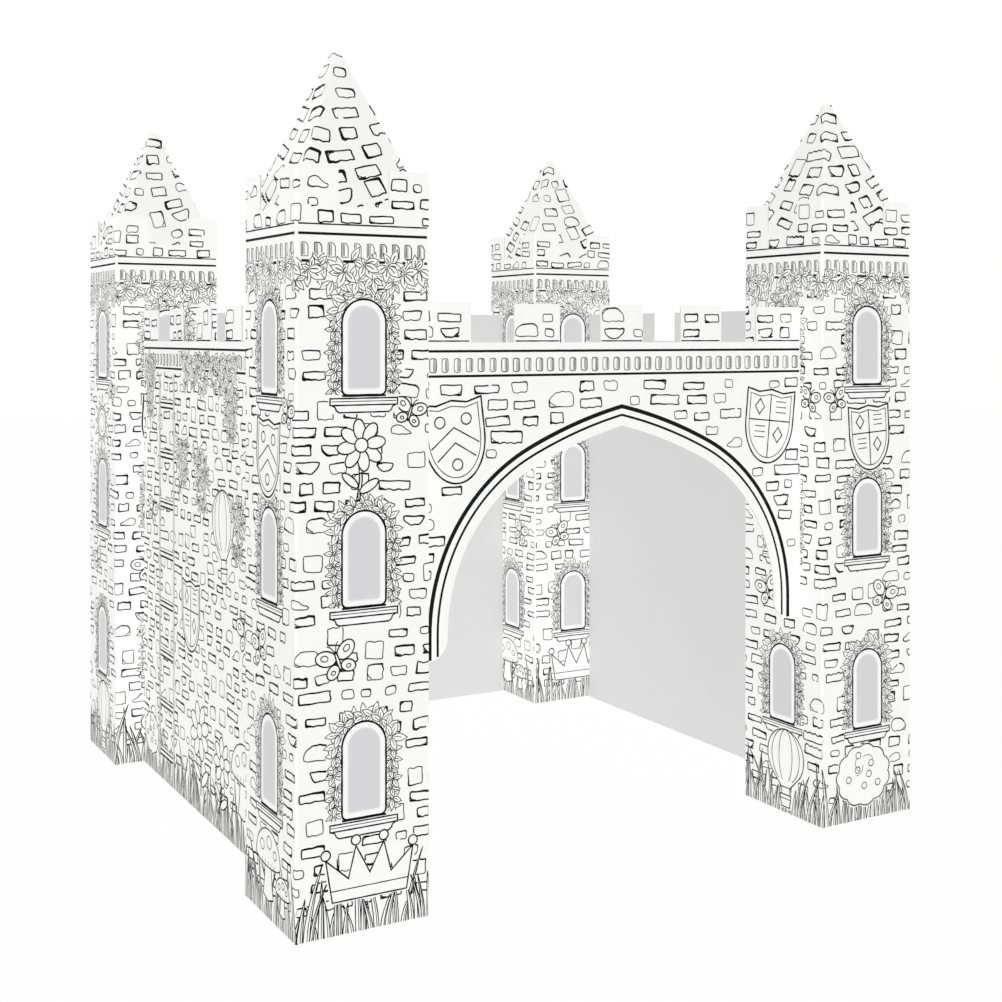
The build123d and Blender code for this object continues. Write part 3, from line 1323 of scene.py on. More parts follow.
@dataclass
class Masonry:
    """Rules, dentils, windows and their sills, and ladders. Sizes are in millimetres."""

    drawing: Drawing
    window_half: float = 37.8
    window_height: float = 151.0
    fade_start: float = 7.5
    fade_width: float = 5.5
    fade_bands: int = 3
    cover_margin: float = 1.0
    sill_half: float = 58.0
    sill_height: float = 26.0
    dentil_pitch: float = 22.5
    rail_half: float = 3.5

    def rule(self, left: float, right: float, height: float, pen: Pen) -> None:
        """Draw a level line across a face."""
        self.drawing.stroke([(left, height), (right, height)], pen)

    def dentils(self, left: float, right: float, top: float, depth: float, shoulder: bool) -> None:
        """Draw a row of small upright blocks with a shaded side.

        Args:
            left: where the row starts.
            right: where it ends.
            top: the blocks' top.
            depth: their height.
            shoulder: whether they have a sloping shoulder, or else round ends.
        """
        rng = self.drawing.rng
        count = round((right - left) / self.dentil_pitch)
        pitch = (right - left) / count
        shade_side = 1 if shoulder else -1
        for index in range(count):
            u = left + (index + 0.5) * pitch + rng.uniform(-0.5, 0.5)
            wide = pitch * rng.uniform(0.25, 0.285)
            low = top - depth * rng.uniform(0.94, 1.0)
            if shoulder:
                body = [(-wide, low), (wide, low), (wide, top - 5), (wide * 0.35, top), (-wide, top)]
            else:
                body = [(-wide, low), (wide, low), (wide, top), (-wide, top)]
            outline = round_corners(np.array(body), 1.5 if shoulder else 4.0) + np.array([u, 0])
            self.drawing.stroke(outline, rng.choice((Pen.HAIR, Pen.FINE)), True)
            for share, pen in ((-0.55, Pen.FINE), (-0.12, Pen.THREAD)):
                shade = u + shade_side * share * wide
                self.drawing.stroke([(shade, low + 2), (shade, top - 1.5)], pen)

    def window_outline(self, u: float, bottom: float, inset: float) -> Points:
        """Give a window's outline: round head, small round corners at the foot.

        Args:
            u: the window's middle.
            bottom: its foot.
            inset: how far the outline is moved in.

        Returns:
            The closed outline.
        """
        half = self.window_half - inset
        low = bottom + inset
        spring = bottom + self.window_height - self.window_half
        corner = max(4.0, 9.0 - 0.4 * inset)
        return np.vstack([
            arc(u - half + corner, low + corner, corner, 180, 270, 5),
            arc(u + half - corner, low + corner, corner, 270, 360, 5),
            arc(u, spring, half, 0, 180, 19),
        ])

    def glass(self, u: float, bottom: float, share: float) -> Points:
        """Give the edge of a window's tint, moved in by a share of its fade."""
        return self.window_outline(u, bottom, self.fade_start + self.fade_width * share)

    def window(self, u: float, bottom: float) -> None:
        """Draw a window: a bold outline, a pale rim that fades into grey, and a moulded sill below.

        Args:
            u: its middle.
            bottom: its foot.
        """
        self.drawing.tint(partial(self.glass, u, bottom), self.fade_bands)
        self.drawing.stroke(self.window_outline(u, bottom, 0), Pen.FIRM, True)
        reach, margin = self.window_height / 2, self.cover_margin
        self.drawing.hide(Block(u, bottom + reach, self.window_half + margin, reach + margin, True))
        self.sill(u, bottom - 1)

    def sill(self, u: float, top: float) -> None:
        """Draw a sill: a bold line, a slab with a hollow below it, and a tapered block.

        Args:
            u: its middle.
            top: its top line.
        """
        half, depth = self.sill_half, self.sill_height
        slab_top, slab_low = top - 0.15 * depth, top - 0.56 * depth
        narrow = half * 0.74
        self.rule(u - self.window_half, u + self.window_half, top, Pen.FIRM)
        slab = [(u - half, slab_low), (u + half, slab_low), (u + half, slab_top), (u - half, slab_top)]
        self.drawing.stroke(slab, Pen.LINE, True)
        self.rule(u - half + 2, u + half - 2, slab_low + 0.55 * (slab_top - slab_low), Pen.HAIR)
        hollow = arc(-half * 0.94, top - depth * 0.86, depth * 0.26, 90, 0, 5)
        base = np.array([(-narrow, top - depth), (narrow, top - depth)])
        moulding = np.vstack([hollow, base, hollow[::-1] * np.array([-1, 1])])
        self.drawing.stroke(moulding + np.array([u, 0]), Pen.LINE)
        self.drawing.hide(Block(u, top - depth / 2, half + 1.5, depth / 2 + 1.5))

    def ladder(self, u: float, low: float, high: float, half: float, pitch: float) -> None:
        """Draw an upright ladder, each rail of two lines and each rung of three.

        Args:
            u: its middle.
            low: its foot.
            high: its top.
            half: half the distance between its rails.
            pitch: the rungs' pitch.
        """
        for side in (-1, 1):
            rail = u + side * half
            for edge in (-self.rail_half, self.rail_half):
                self.drawing.stroke([(rail + edge, low), (rail + edge, high)], Pen.FINE)
            self.drawing.hide(Block(rail, (low + high) / 2, self.rail_half + 1, (high - low) / 2))
        for index in range(int((high - low) / pitch)):
            height = high - (index + 0.6) * pitch
            for rise, pen in RUNG_LINES:
                self.rule(u - half, u + half, height + rise, pen)
            self.drawing.hide(Block(u, height, half, 9))


# The printed sheets

CORNERS = {"front_left": (-1, -1), "front_right": (1, -1), "back_right": (1, 1), "back_left": (-1, 1)}

# A tower's motifs, between its upper windows and at its foot
UPPER_MOTIFS = (Motif.CHEVRON_SHIELD, Motif.DAISY, Motif.QUARTERED_SHIELD, Motif.SUN)
FOOT_MOTIFS = (Motif.BUSH, Motif.TOADSTOOLS, Motif.CROWN, Motif.BALLOON)

# The left wall's motifs, and its vines' middle, top, length and width in millimetres
WALL_SPOTS = (
    Spot(Motif.BALLOON, 120, 560, 92, 0.08),
    Spot(Motif.QUARTERED_SHIELD, -80, 380, 74),
    Spot(Motif.TOADSTOOLS, 250, 130, 96),
    Spot(Motif.DAISY, -20, 130, 92, 0.1),
    Spot(Motif.DAISY, 110, 108, 76, -0.12),
    Spot(Motif.BUTTERFLY, 240, 400, 46, 0.3),
    Spot(Motif.BUTTERFLY, -350, 560, 40, -0.3),
    Spot(Motif.BUSH, -355, 80, 60),
)
WALL_VINES = (
    (-95, 893, 60, 95), (-10, 896, 70, 90), (75, 892, 66, 95), (158, 894, 165, 78), (-135, 715, 95, 70),
    (-8, 700, 115, 84), (205, 630, 110, 66), (345, 893, 80, 90), (352, 560, 120, 70), (-368, 890, 130, 60),
)
ARCH_SPOTS = (
    Spot(Motif.CHEVRON_SHIELD, -338, 762, 74, 0.12),
    Spot(Motif.QUARTERED_SHIELD, 340, 768, 74, -0.1),
)

# How far the print stays from a cut edge, in millimetres
MARGIN = 1.0


@dataclass
class TowerPrint:
    """The print of one tower: four faces with three windows each. Sizes are in millimetres."""

    corner: tuple[int, int]
    seed: int
    boldness: float = 1.14
    window_bottoms: tuple[float, float, float] = (180.0, 512.0, 845.0)
    seam_margin: float = 2.0
    rule_margin: float = 3.5
    thin_rule: float = 1112.0
    thick_rule: float = 1097.0
    dentil_top: float = 1083.0
    dentil_depth: float = 22.5
    garland_rule: float = 1054.5
    garland_depth: float = 44.0
    stones_low: float = 40.0
    stones_gap: float = 16.0
    blade_heights: Range = (58.0, 122.0)
    blade_pitch: float = 8.5
    sleeve: Sleeve = field(init=False)

    def __post_init__(self) -> None:
        """Set the sheet round the tower. Its seam is at the corner that faces the courtyard."""
        seam_side = (list(CORNERS.values()).index(self.corner) + 2) % 4
        self.sleeve = Sleeve(PLAN.centre(self.corner) * MM, seam_side, PLAN.half_tower)

    def on_board(self, points: Points) -> np.ndarray:
        """Mark the points that lie on the sheet and not in a notch.

        Args:
            points: rows of places on the sheet, in millimetres.

        Returns:
            True for each printed point.
        """
        across = np.abs(self.sleeve.from_middle(points)[1])
        v = points[:, 1]
        seam = 2 * self.sleeve.pitch - self.seam_margin
        inside = np.abs(points[:, 0] - 1.5 * self.sleeve.pitch) < seam
        on_sheet = inside & (v > MARGIN) & (v < PLAN.tower_height - MARGIN)
        return on_sheet & ((v < PLAN.notch_floor - MARGIN) | (across > PLAN.notch_half + MARGIN))

    def draw(self, layer: PrintLayer) -> None:
        """Draw the four faces, and then the stones over the whole sheet.

        Args:
            layer: the tower's layer of print.
        """
        drawing = Drawing(self.sleeve, layer, self.on_board, random.Random(self.seed * 10), self.boldness)
        pitch = self.sleeve.pitch
        for face in range(4):
            pick = (self.seed + self.sleeve.side(face).value) % 4
            self.draw_face(drawing, face * pitch, UPPER_MOTIFS[pick], FOOT_MOTIFS[(pick + self.seed) % 4])
        left, right = -pitch / 2, 3.5 * pitch
        stones_high = self.garland_rule - self.stones_gap
        Stones(drawing, TOWER_COURSES).fill((left, self.stones_low), (right, stones_high))
        Stones(drawing, TOWER_TOP_COURSES).fill((left, self.thin_rule), (right, PLAN.tower_height))

    def draw_face(self, drawing: Drawing, middle: float, upper: Motif, lower: Motif) -> None:
        """Draw one face's rules, windows, leaves and motifs from front to back.

        Args:
            drawing: the whole sheet's drawing.
            middle: where the face's middle is along the sheet.
            upper: the motif between the upper windows.
            lower: the motif at the foot.
        """
        half = self.sleeve.pitch / 2
        left, right = middle - half + self.rule_margin, middle + half - self.rule_margin
        masonry, foliage, figures = Masonry(drawing), Foliage(drawing), Figures(drawing)
        masonry.rule(left, right, self.thin_rule, Pen.LINE)
        masonry.rule(left, right, self.thick_rule, Pen.RULE)
        between_rules = (self.thin_rule + self.thick_rule) / 2
        drawing.hide(Block(middle, between_rules, half, (self.thin_rule - self.thick_rule) / 2 + 2))
        sign = drawing.rng.choice((-1, 1))
        figures.draw(Spot(lower, -10, 88, 80), middle, sign)
        for bottom in self.window_bottoms:
            masonry.window(middle, bottom)
        foliage.garland(middle - half, middle + half, self.garland_rule, self.garland_depth)
        gap_low = self.window_bottoms[1] + masonry.window_height
        gap_high = self.window_bottoms[2] - masonry.sill_height
        for spot in (Spot(upper, 6, (gap_low + gap_high) / 2 + 2, 66, sign * 0.06),
                     Spot(Motif.BUTTERFLY, -80, gap_high - 4, 31, sign * 0.3),
                     Spot(Motif.BUTTERFLY, 44, self.window_bottoms[1] - 82, 38, -sign * 0.35)):
            figures.draw(spot, middle, sign)
        foliage.grass(middle - half, middle + half, self.blade_heights, self.blade_pitch)
        for bottom in self.window_bottoms:
            foliage.wreath(middle, bottom, masonry.window_half, masonry.window_height)
        masonry.dentils(left, right, self.dentil_top, self.dentil_depth, True)


@dataclass
class RoofPrint:
    """The print of one roof: two sheets of two faces each, with rows that rise from the fold to both sides.

    Sizes are in millimetres, and sweep is the radius with which the rows bend up.
    """

    corner: tuple[int, int]
    seed: int
    boldness: float = 1.3
    edge_margin: float = 1.2
    foot_margin: float = 1.5
    tongue_margin: float = 2.0
    corner_floor: float = 10.5
    valley: float = 20.0
    sweep: float = 240.0

    @property
    def half_apex(self) -> float:
        """Half the angle of a face at its tip, in radians."""
        return math.atan(math.cos(PLAN.slope))

    def ridge(self, turn: int) -> Ridge:
        """Give the sheet round one fold.

        Args:
            turn: 1 for the fold at the roof's front left, -1 for the one at its back right.

        Returns:
            The sheet, with its foot where the faces' planes meet at the notch floor.
        """
        way = Vector((-turn, -turn, 0))
        reach = way * PLAN.half_tower
        along = (Vector((0, 0, PLAN.roof_rise)) - reach).normalized()
        ahead = (way - along * way.dot(along)).normalized()
        half_turn = math.acos(math.cos(PLAN.slope) ** 2) / 2
        return Ridge((PLAN.centre(self.corner, PLAN.notch_floor) + reach) * MM, along, ahead, half_turn)

    def on_board(self, points: Points) -> np.ndarray:
        """Mark the points that lie on a face or on its tongue.

        Args:
            points: rows of places on the sheet, in millimetres.

        Returns:
            True for each printed point.
        """
        far, along = np.abs(points[:, 0]), points[:, 1]
        cos, sin = math.cos(self.half_apex), math.sin(self.half_apex)
        u = along * sin + far * cos - PLAN.half_tower
        v = along * cos - far * sin
        half = PLAN.half_tower - v * math.cos(PLAN.slope)
        on_face = (u < half - self.edge_margin) & (v > self.foot_margin) & (v < PLAN.roof_length - MARGIN)
        return on_face & ((v > self.corner_floor) | (np.abs(u) < PLAN.notch_half - self.tongue_margin))

    def row(self, u: float) -> tuple[float, float]:
        """Give the shape of a row of stones.

        Args:
            u: distance from the fold, less than nothing to its left.

        Returns:
            How far the row has risen there, and its slope in radians.
        """
        rake = math.tan(self.half_apex)
        far = abs(u)
        soft = math.hypot(far, self.valley)
        rise = rake * (soft - self.valley) + far ** 2 / (2 * self.sweep)
        return rise, math.copysign(math.atan(rake * far / soft + far / self.sweep), u)

    def draw(self, layer: PrintLayer) -> None:
        """Draw both sheets.

        Args:
            layer: the roof's layer of print.
        """
        reach = PLAN.tower_side * math.cos(self.half_apex)
        height = PLAN.half_tower / math.sin(self.half_apex)
        lowest = PLAN.tower_side * math.sin(self.half_apex) - self.row(reach)[0]
        for turn in (1, -1):
            rng = random.Random(self.seed * 100 + turn)
            drawing = Drawing(self.ridge(turn), layer, self.on_board, rng, self.boldness)
            Stones(drawing, ROOF_COURSES).fill((-reach, lowest), (reach, height), self.row)


@dataclass
class WallPrint:
    """The print on the outside of one wall. Sizes are in millimetres."""

    side: Side
    seed: int
    boldness: float = 1.3
    thin_rule: float = 929.5
    thick_rule: float = 912.4
    low_rule: float = 870.4
    dentil_top: float = 900.0
    dentil_depth: float = 23.5
    dentil_pitch: float = 22.8
    edge_margin: float = 1.5
    ladder_u: float = -245.0
    ladder_half: float = 50.0
    rung_pitch: float = 105.0
    stones_low: float = 60.0
    stones_gap: float = 5.0
    blade_heights: Range = (50.0, 115.0)
    blade_pitch: float = 10.0

    def panel(self) -> Panel:
        """Give the wall's outer panel."""
        return Panel(self.side.out * PLAN.wall_face * MM, self.side.across, Vector((0, 0, 1)), self.side.out)

    def on_board(self, points: Points) -> np.ndarray:
        """Mark the points that lie on the wall and not in a gap between merlons.

        Args:
            points: rows of places on the sheet, in millimetres.

        Returns:
            True for each printed point.
        """
        u, v = points[:, 0], points[:, 1]
        inside = np.abs(u) < PLAN.wall_half - self.edge_margin
        on_sheet = inside & (v > MARGIN) & (v < PLAN.wall_height - MARGIN)
        first = -PLAN.gap_pitch * (PLAN.gap_count - 1) / 2
        nearest = np.clip(np.round((u - first) / PLAN.gap_pitch), 0, PLAN.gap_count - 1)
        in_gap = np.abs(u - first - nearest * PLAN.gap_pitch) < PLAN.gap_half + MARGIN
        return on_sheet & ~(in_gap & (v > PLAN.gap_floor - MARGIN))

    def draw_top(self, drawing: Drawing) -> Masonry:
        """Draw the two rules that run along the wall's top.

        Args:
            drawing: the wall's drawing.

        Returns:
            The masonry that goes on with it.
        """
        masonry = Masonry(drawing, dentil_pitch=self.dentil_pitch)
        masonry.rule(-PLAN.wall_half, PLAN.wall_half, self.thin_rule, Pen.LINE)
        masonry.rule(-PLAN.wall_half, PLAN.wall_half, self.thick_rule, Pen.RULE)
        middle = (self.thin_rule + self.thick_rule) / 2
        drawing.hide(Block(0, middle, PLAN.wall_half, (self.thin_rule - self.thick_rule) / 2 + 2))
        return masonry

    def draw_band(self, drawing: Drawing, masonry: Masonry) -> None:
        """Draw the dentils, the rule below them, and the stones of the merlons.

        Args:
            drawing: the wall's drawing.
            masonry: its masonry.
        """
        end = PLAN.wall_half - 3
        masonry.dentils(-end, end, self.dentil_top, self.dentil_depth, False)
        masonry.rule(-PLAN.wall_half, PLAN.wall_half, self.low_rule, Pen.RULE)
        drawing.hide(Block(0, (self.dentil_top + self.low_rule) / 2, PLAN.wall_half, 22))
        merlons = Stones(drawing, MERLON_COURSES)
        merlons.fill((-PLAN.wall_half, self.thin_rule + 1), (PLAN.wall_half, PLAN.wall_height))

    def draw(self, layer: PrintLayer) -> None:
        """Draw the wall's outside from front to back. The right and back walls mirror the left one.

        Args:
            layer: the wall's layer of print.
        """
        drawing = Drawing(self.panel(), layer, self.on_board, random.Random(self.seed), self.boldness)
        masonry, foliage, figures = self.draw_top(drawing), Foliage(drawing), Figures(drawing)
        flip = 1 if self.side is Side.LEFT else -1
        for u, top, length, width in WALL_VINES:
            foliage.vine(flip * u, top, length, width)
        masonry.ladder(flip * self.ladder_u, 3, self.low_rule - 12, self.ladder_half, self.rung_pitch)
        for spot in WALL_SPOTS:
            figures.draw(spot, 0.0, flip)
        foliage.grass(-PLAN.wall_half, PLAN.wall_half, self.blade_heights, self.blade_pitch)
        self.draw_band(drawing, masonry)
        stones = Stones(drawing, WALL_COURSES)
        stones.fill((-PLAN.wall_half, self.stones_low), (PLAN.wall_half, self.low_rule - self.stones_gap))


@dataclass
class ArchPrint(WallPrint):
    """The print of the front panel: the doorway's double rim, two shields and scattered stones."""

    boldness: float = 1.1
    stones_gap: float = 8.0
    rim: float = 34.0
    rim_gap: float = 7.0
    inner_line: float = 19.0
    foot_radius: float = 38.0
    curve_points: int = 26

    def arch(self, offset: float) -> Points:
        """Give the doorway's line.

        Args:
            offset: how far the line is moved out from the cut edge.

        Returns:
            The line from the right foot to the left one.
        """
        turn = math.radians(PLAN.haunch_angle)
        haunch_u = PLAN.arch_half - PLAN.haunch_radius
        shift = PLAN.crown_radius - PLAN.haunch_radius
        crown_u = haunch_u - shift * math.cos(turn)
        crown_drop = shift * math.sin(turn)
        rise = math.sqrt(PLAN.crown_radius ** 2 - crown_u ** 2) - crown_drop
        spring = PLAN.gap_floor - PLAN.lintel - rise
        crown_radius = PLAN.crown_radius + offset
        point_angle = math.degrees(math.acos(-crown_u / crown_radius))
        haunch = arc(haunch_u, spring, PLAN.haunch_radius + offset, 0, PLAN.haunch_angle, self.curve_points)
        low = spring - crown_drop
        crown = arc(crown_u, low, crown_radius, PLAN.haunch_angle, point_angle, self.curve_points)
        jamb = np.array([(PLAN.arch_half + offset, PLAN.foot_height)])
        right = np.vstack([jamb, haunch, crown[1:]])
        left = right[::-1][1:] * np.array([-1, 1])
        return np.vstack([right, left])

    def outside_arch(self, points: Points, offset: float) -> np.ndarray:
        """Mark the points that lie outside the doorway's line.

        Args:
            points: rows of places on the sheet, in millimetres.
            offset: how far the line is moved out from the cut edge.

        Returns:
            True for each point outside.
        """
        line = self.arch(offset)
        half = line[: len(line) // 2 + 1]
        u, v = np.abs(points[:, 0]), points[:, 1]
        line_u = np.interp(v, half[:, 1], half[:, 0])
        return (u > line_u) | (v > half[-1, 1])

    def on_board(self, points: Points) -> np.ndarray:
        """Mark the points that lie on the panel and not off its rounded feet.

        Args:
            points: rows of places on the sheet, in millimetres.

        Returns:
            True for each printed point.
        """
        on_sheet = super().on_board(points) & (points[:, 1] > PLAN.foot_height + MARGIN)
        du = PLAN.arch_half + self.foot_radius - np.abs(points[:, 0])
        dv = PLAN.foot_height + self.foot_radius - points[:, 1]
        off_foot = (du > 0) & (dv > 0) & (np.hypot(du, dv) > self.foot_radius - MARGIN)
        return on_sheet & self.outside_arch(points, MARGIN) & ~off_foot

    def beside_rim(self, points: Points) -> np.ndarray:
        """Mark the points that lie on the panel and clear of the doorway's rim."""
        return self.on_board(points) & self.outside_arch(points, self.rim + self.rim_gap)

    def draw(self, layer: PrintLayer) -> None:
        """Draw the panel from front to back.

        Args:
            layer: the panel's layer of print.
        """
        drawing = Drawing(self.panel(), layer, self.on_board, random.Random(self.seed), self.boldness)
        masonry = self.draw_top(drawing)
        drawing.stroke(self.arch(self.rim), Pen.BAND)
        drawing.stroke(self.arch(self.inner_line), Pen.RULE)
        drawing.region = self.beside_rim
        self.draw_band(drawing, masonry)
        figures = Figures(drawing)
        for spot in ARCH_SPOTS:
            figures.draw(spot)
        stones = Stones(drawing, ARCH_COURSES)
        stones.fill((-PLAN.wall_half, PLAN.foot_height), (PLAN.wall_half, self.low_rule - self.stones_gap))


# Colours and finishes

# Settings of the mix nodes
LAID_OVER = {"data_type": "RGBA"}
MULTIPLIED = {"data_type": "RGBA", "blend_type": "MULTIPLY"}


def linear(shade: str) -> tuple[float, float, float, float]:
    """Turn an sRGB hex colour into linear red, green, blue and alpha."""
    channels = [int(shade[start:start + 2], 16) / 255 for start in (1, 3, 5)]
    return (*[c / 12.92 if c <= 0.04045 else ((c + 0.055) / 1.055) ** 2.4 for c in channels], 1.0)


def add_node(tree: bpy.types.NodeTree, kind: str, settings: dict | None = None, *values: object,
             **inputs: object) -> Node:
    """Add a shader node with its settings and links. An input gets a value, a socket or a node.

    Args:
        tree: the material's or world's node tree.
        kind: the node's type name, without its ShaderNode start.
        settings: the node's own properties.
        values: what its first inputs get, in order.
        inputs: what others get, by name, or by number as in i6.

    Returns:
        The node.
    """
    node = tree.nodes.new("ShaderNode" + kind)
    for key, value in (settings or {}).items():
        setattr(node, key, value)
    given = list(enumerate(values))
    for key, value in inputs.items():
        numbered = key[0] == "i" and key[1:].isdigit()
        given.append((int(key[1:]) if numbered else key.replace("_", " "), value))
    for place, value in given:
        if isinstance(value, Node):
            value = next(socket for socket in value.outputs if socket.enabled)
        if isinstance(value, bpy.types.NodeSocket):
            tree.links.new(value, node.inputs[place])
        else:
            node.inputs[place].default_value = value
    return node


def new_material(name: str) -> tuple[Material, Adder]:
    """Make an empty node material.

    Args:
        name: its name.

    Returns:
        The material, and the function that adds a node to it.
    """
    material = bpy.data.materials.new(name)
    material.use_nodes = True
    material.node_tree.nodes.clear()
    return material, partial(add_node, material.node_tree)


class Sheet(Enum):
    """How a sheet of board is used, which says where its faces, folds and cut edges are."""

    TOWER = "tower"
    WALL = "wall"
    ROOF = "roof"


@dataclass(frozen=True)
class CoatedBoard:
    """Single-wall fluted board, clay-coated white outside and bare white-grey liner inside.

    The coat is smooth with a soft sheen and lets the flutes read through as faint upright ridges. The
    bare liner is greyer and more fibrous, and its grey also holds painted shade of the castle's inside,
    where the fill lamps throw none. Its real fibres are too fine to show, so they are drawn coarser.
    A cut edge shows two liners and the wave of the medium.
    """

    sheet: Sheet
    centre: Vector
    outer: float
    coat: str = "#F8F8F7"
    # White laid along the folds: a painted highlight of the light on the folds' bend
    fold_highlight: str = "#FFFFFF"
    # The liner's grey: its own colour, darkened further as painted shade of the castle's inside
    liner: str = "#DADADA"
    skin: str = "#F3F2F0"
    medium: str = "#ECEAE6"
    # Grey of the flutes' open hollows at a cut edge: painted shade
    hollow: str = "#CECBC5"
    flute_pitch_mm: float = 6.4
    fibre_mm: float = 0.9
    mottle_mm: float = 60.0
    fold_mm: float = 9.0
    relief_mm: float = 0.4
    tower_margin_mm: float = 12.0
    wall_margin_mm: float = 20.0
    roof_under: float = -0.2
    roof_tilt: float = 0.42
    tilt_margin: float = 0.25
    wave_height: float = 0.36
    medium_half: float = 0.13
    core_half: float = 0.36
    coat_tone: Range = (0.992, 0.006)
    liner_tone: Range = (0.965, 0.018)
    flute_tone: float = 0.0025
    fold_highlight_share: float = 0.35
    relief: float = 0.35
    fibre_relief: float = 0.12
    flute_relief: float = 0.05
    fold_relief: float = -0.25
    coat_roughness: float = 0.52
    liner_roughness: float = 0.85
    ior: float = 1.47

    def build(self, name: str) -> Material:
        """Make the material of one sheet.

        Args:
            name: its name.

        Returns:
            The material.
        """
        material, add = new_material(name)
        geometry = add("NewGeometry")
        position = geometry.outputs["Position"]
        place = add("VectorMath", {"operation": "SUBTRACT"}, position, self.centre)
        inside, edge = self.face_masks(add, geometry.outputs["True Normal"], place)
        along, deep = self.sheet_axes(add, place)
        fold = self.fold_mask(add, along, deep)
        fibre = add("TexNoise", None, position, Scale=1 / (self.fibre_mm * MM), Detail=3.0, Roughness=0.6)
        mottle = add("TexNoise", None, position, Scale=1 / (self.mottle_mm * MM), Detail=2.0)
        flute = self.flute_wave(add, along)
        coat = self.toned(add, self.coat, mottle, flute, self.coat_tone)
        # A lighter band along the folds: painted highlight where the light catches the bend
        painted_highlight = add("Math", {"operation": "MULTIPLY"}, fold, self.fold_highlight_share)
        outside = add("Mix", LAID_OVER, painted_highlight, i6=coat, i7=linear(self.fold_highlight))
        # The inside liner's grey is partly painted shade
        liner = self.toned(add, self.liner, fibre, flute, self.liner_tone)
        faces = add("Mix", LAID_OVER, inside, i6=outside, i7=liner)
        colour = add("Mix", LAID_OVER, edge, i6=faces, i7=self.edge_colour(add, along, deep))
        bare = add("Math", {"operation": "MAXIMUM"}, inside, edge)
        rough = add("Mix", {"data_type": "FLOAT"}, bare, i2=self.coat_roughness, i3=self.liner_roughness)
        fine = add("Math", {"operation": "MULTIPLY"}, fibre, self.fibre_relief)
        ridged = add("Math", {"operation": "MULTIPLY_ADD"}, flute, self.flute_relief, fine)
        pressed = add("Math", {"operation": "MULTIPLY_ADD"}, fold, self.fold_relief, ridged)
        bump = add("Bump", None, Strength=self.relief, Distance=self.relief_mm * MM, Height=pressed)
        shader = add("BsdfPrincipled", None, Base_Color=colour, Roughness=rough, IOR=self.ior, Normal=bump)
        add("OutputMaterial", None, Surface=shader)
        return material

    def face_masks(self, add: Adder, normal: bpy.types.NodeSocket, place: Node) -> tuple[Node, Node]:
        """Tell the inside liner and the cut edges from the printed outside.

        Args:
            add: adds a node to the material.
            normal: the face's own normal.
            place: the point's place from the sheet's centre.

        Returns:
            The mask of the inside and the mask of the edges.
        """
        if self.sheet is Sheet.ROOF:
            tilt = add("SeparateXYZ", None, normal).outputs[2]
            steep = add("Math", {"operation": "ABSOLUTE"}, tilt)
            face = add("Math", {"operation": "COMPARE"}, steep, self.roof_tilt, self.tilt_margin)
            inside = add("Math", {"operation": "LESS_THAN"}, tilt, self.roof_under)
            return inside, add("Math", {"operation": "SUBTRACT"}, 1.0, face)
        level = add("VectorMath", {"operation": "MULTIPLY"}, place, (1, 1, 0))
        facing = add("VectorMath", {"operation": "DOT_PRODUCT"}, level, normal)
        margin = self.tower_margin_mm if self.sheet is Sheet.TOWER else self.wall_margin_mm
        limit = self.outer - margin * MM
        inside = add("Math", {"operation": "LESS_THAN"}, facing, -limit)
        return inside, add("Math", {"operation": "COMPARE"}, facing, 0.0, limit)

    def sheet_axes(self, add: Adder, place: Node) -> tuple[Node, Node]:
        """Give the distance along the sheet and the distance out from its centre.

        Args:
            add: adds a node to the material.
            place: the point's place from the sheet's centre.

        Returns:
            Both distances.
        """
        x, y, _ = add("SeparateXYZ", None, place).outputs
        far = [add("Math", {"operation": "ABSOLUTE"}, way) for way in (x, y)]
        return add("Math", {"operation": "MINIMUM"}, *far), add("Math", {"operation": "MAXIMUM"}, *far)

    def fold_mask(self, add: Adder, along: Node, deep: Node) -> Node | float:
        """Mark a narrow band along the folds, where the coat is stretched and where a lighter painted
        highlight goes.

        Args:
            add: adds a node to the material.
            along: the distance along the sheet.
            deep: the distance out from the centre.

        Returns:
            The mask, which is nothing on a wall.
        """
        if self.sheet is Sheet.WALL:
            return 0.0
        apart = add("Math", {"operation": "SUBTRACT"}, deep, along)
        share = add("Math", {"operation": "DIVIDE"}, apart, self.fold_mm * MM)
        capped = add("Math", {"operation": "SMOOTH_MIN"}, 1.0, share, 0.2)
        return add("Math", {"operation": "SUBTRACT"}, 1.0, capped)

    def flute_wave(self, add: Adder, along: Node) -> Node:
        """Give the flutes' wave along the sheet, from minus one to one."""
        turns = add("Math", {"operation": "MULTIPLY"}, along, 2 * math.pi / (self.flute_pitch_mm * MM))
        return add("Math", {"operation": "SINE"}, turns)

    def edge_colour(self, add: Adder, along: Node, deep: Node) -> Node:
        """Draw a cut edge: a liner at each face, the medium's wave between them, and painted shade in the
        hollows.

        Args:
            add: adds a node to the material.
            along: the distance along the sheet.
            deep: the distance out from the centre.

        Returns:
            The edge's colour.
        """
        board = PLAN.board * MM
        into = add("Math", {"operation": "SUBTRACT"}, deep, self.outer - board)
        through = add("Math", {"operation": "DIVIDE"}, into, board)
        wave = add("Math", {"operation": "MULTIPLY_ADD"}, self.flute_wave(add, along), self.wave_height, 0.5)
        paper = add("Math", {"operation": "COMPARE"}, through, wave, self.medium_half)
        core = add("Math", {"operation": "COMPARE"}, through, 0.5, self.core_half)
        # The hollows between the medium and the liners get painted shade
        fluted = add("Mix", LAID_OVER, paper, i6=linear(self.hollow), i7=linear(self.medium))
        return add("Mix", LAID_OVER, core, i6=linear(self.skin), i7=fluted)

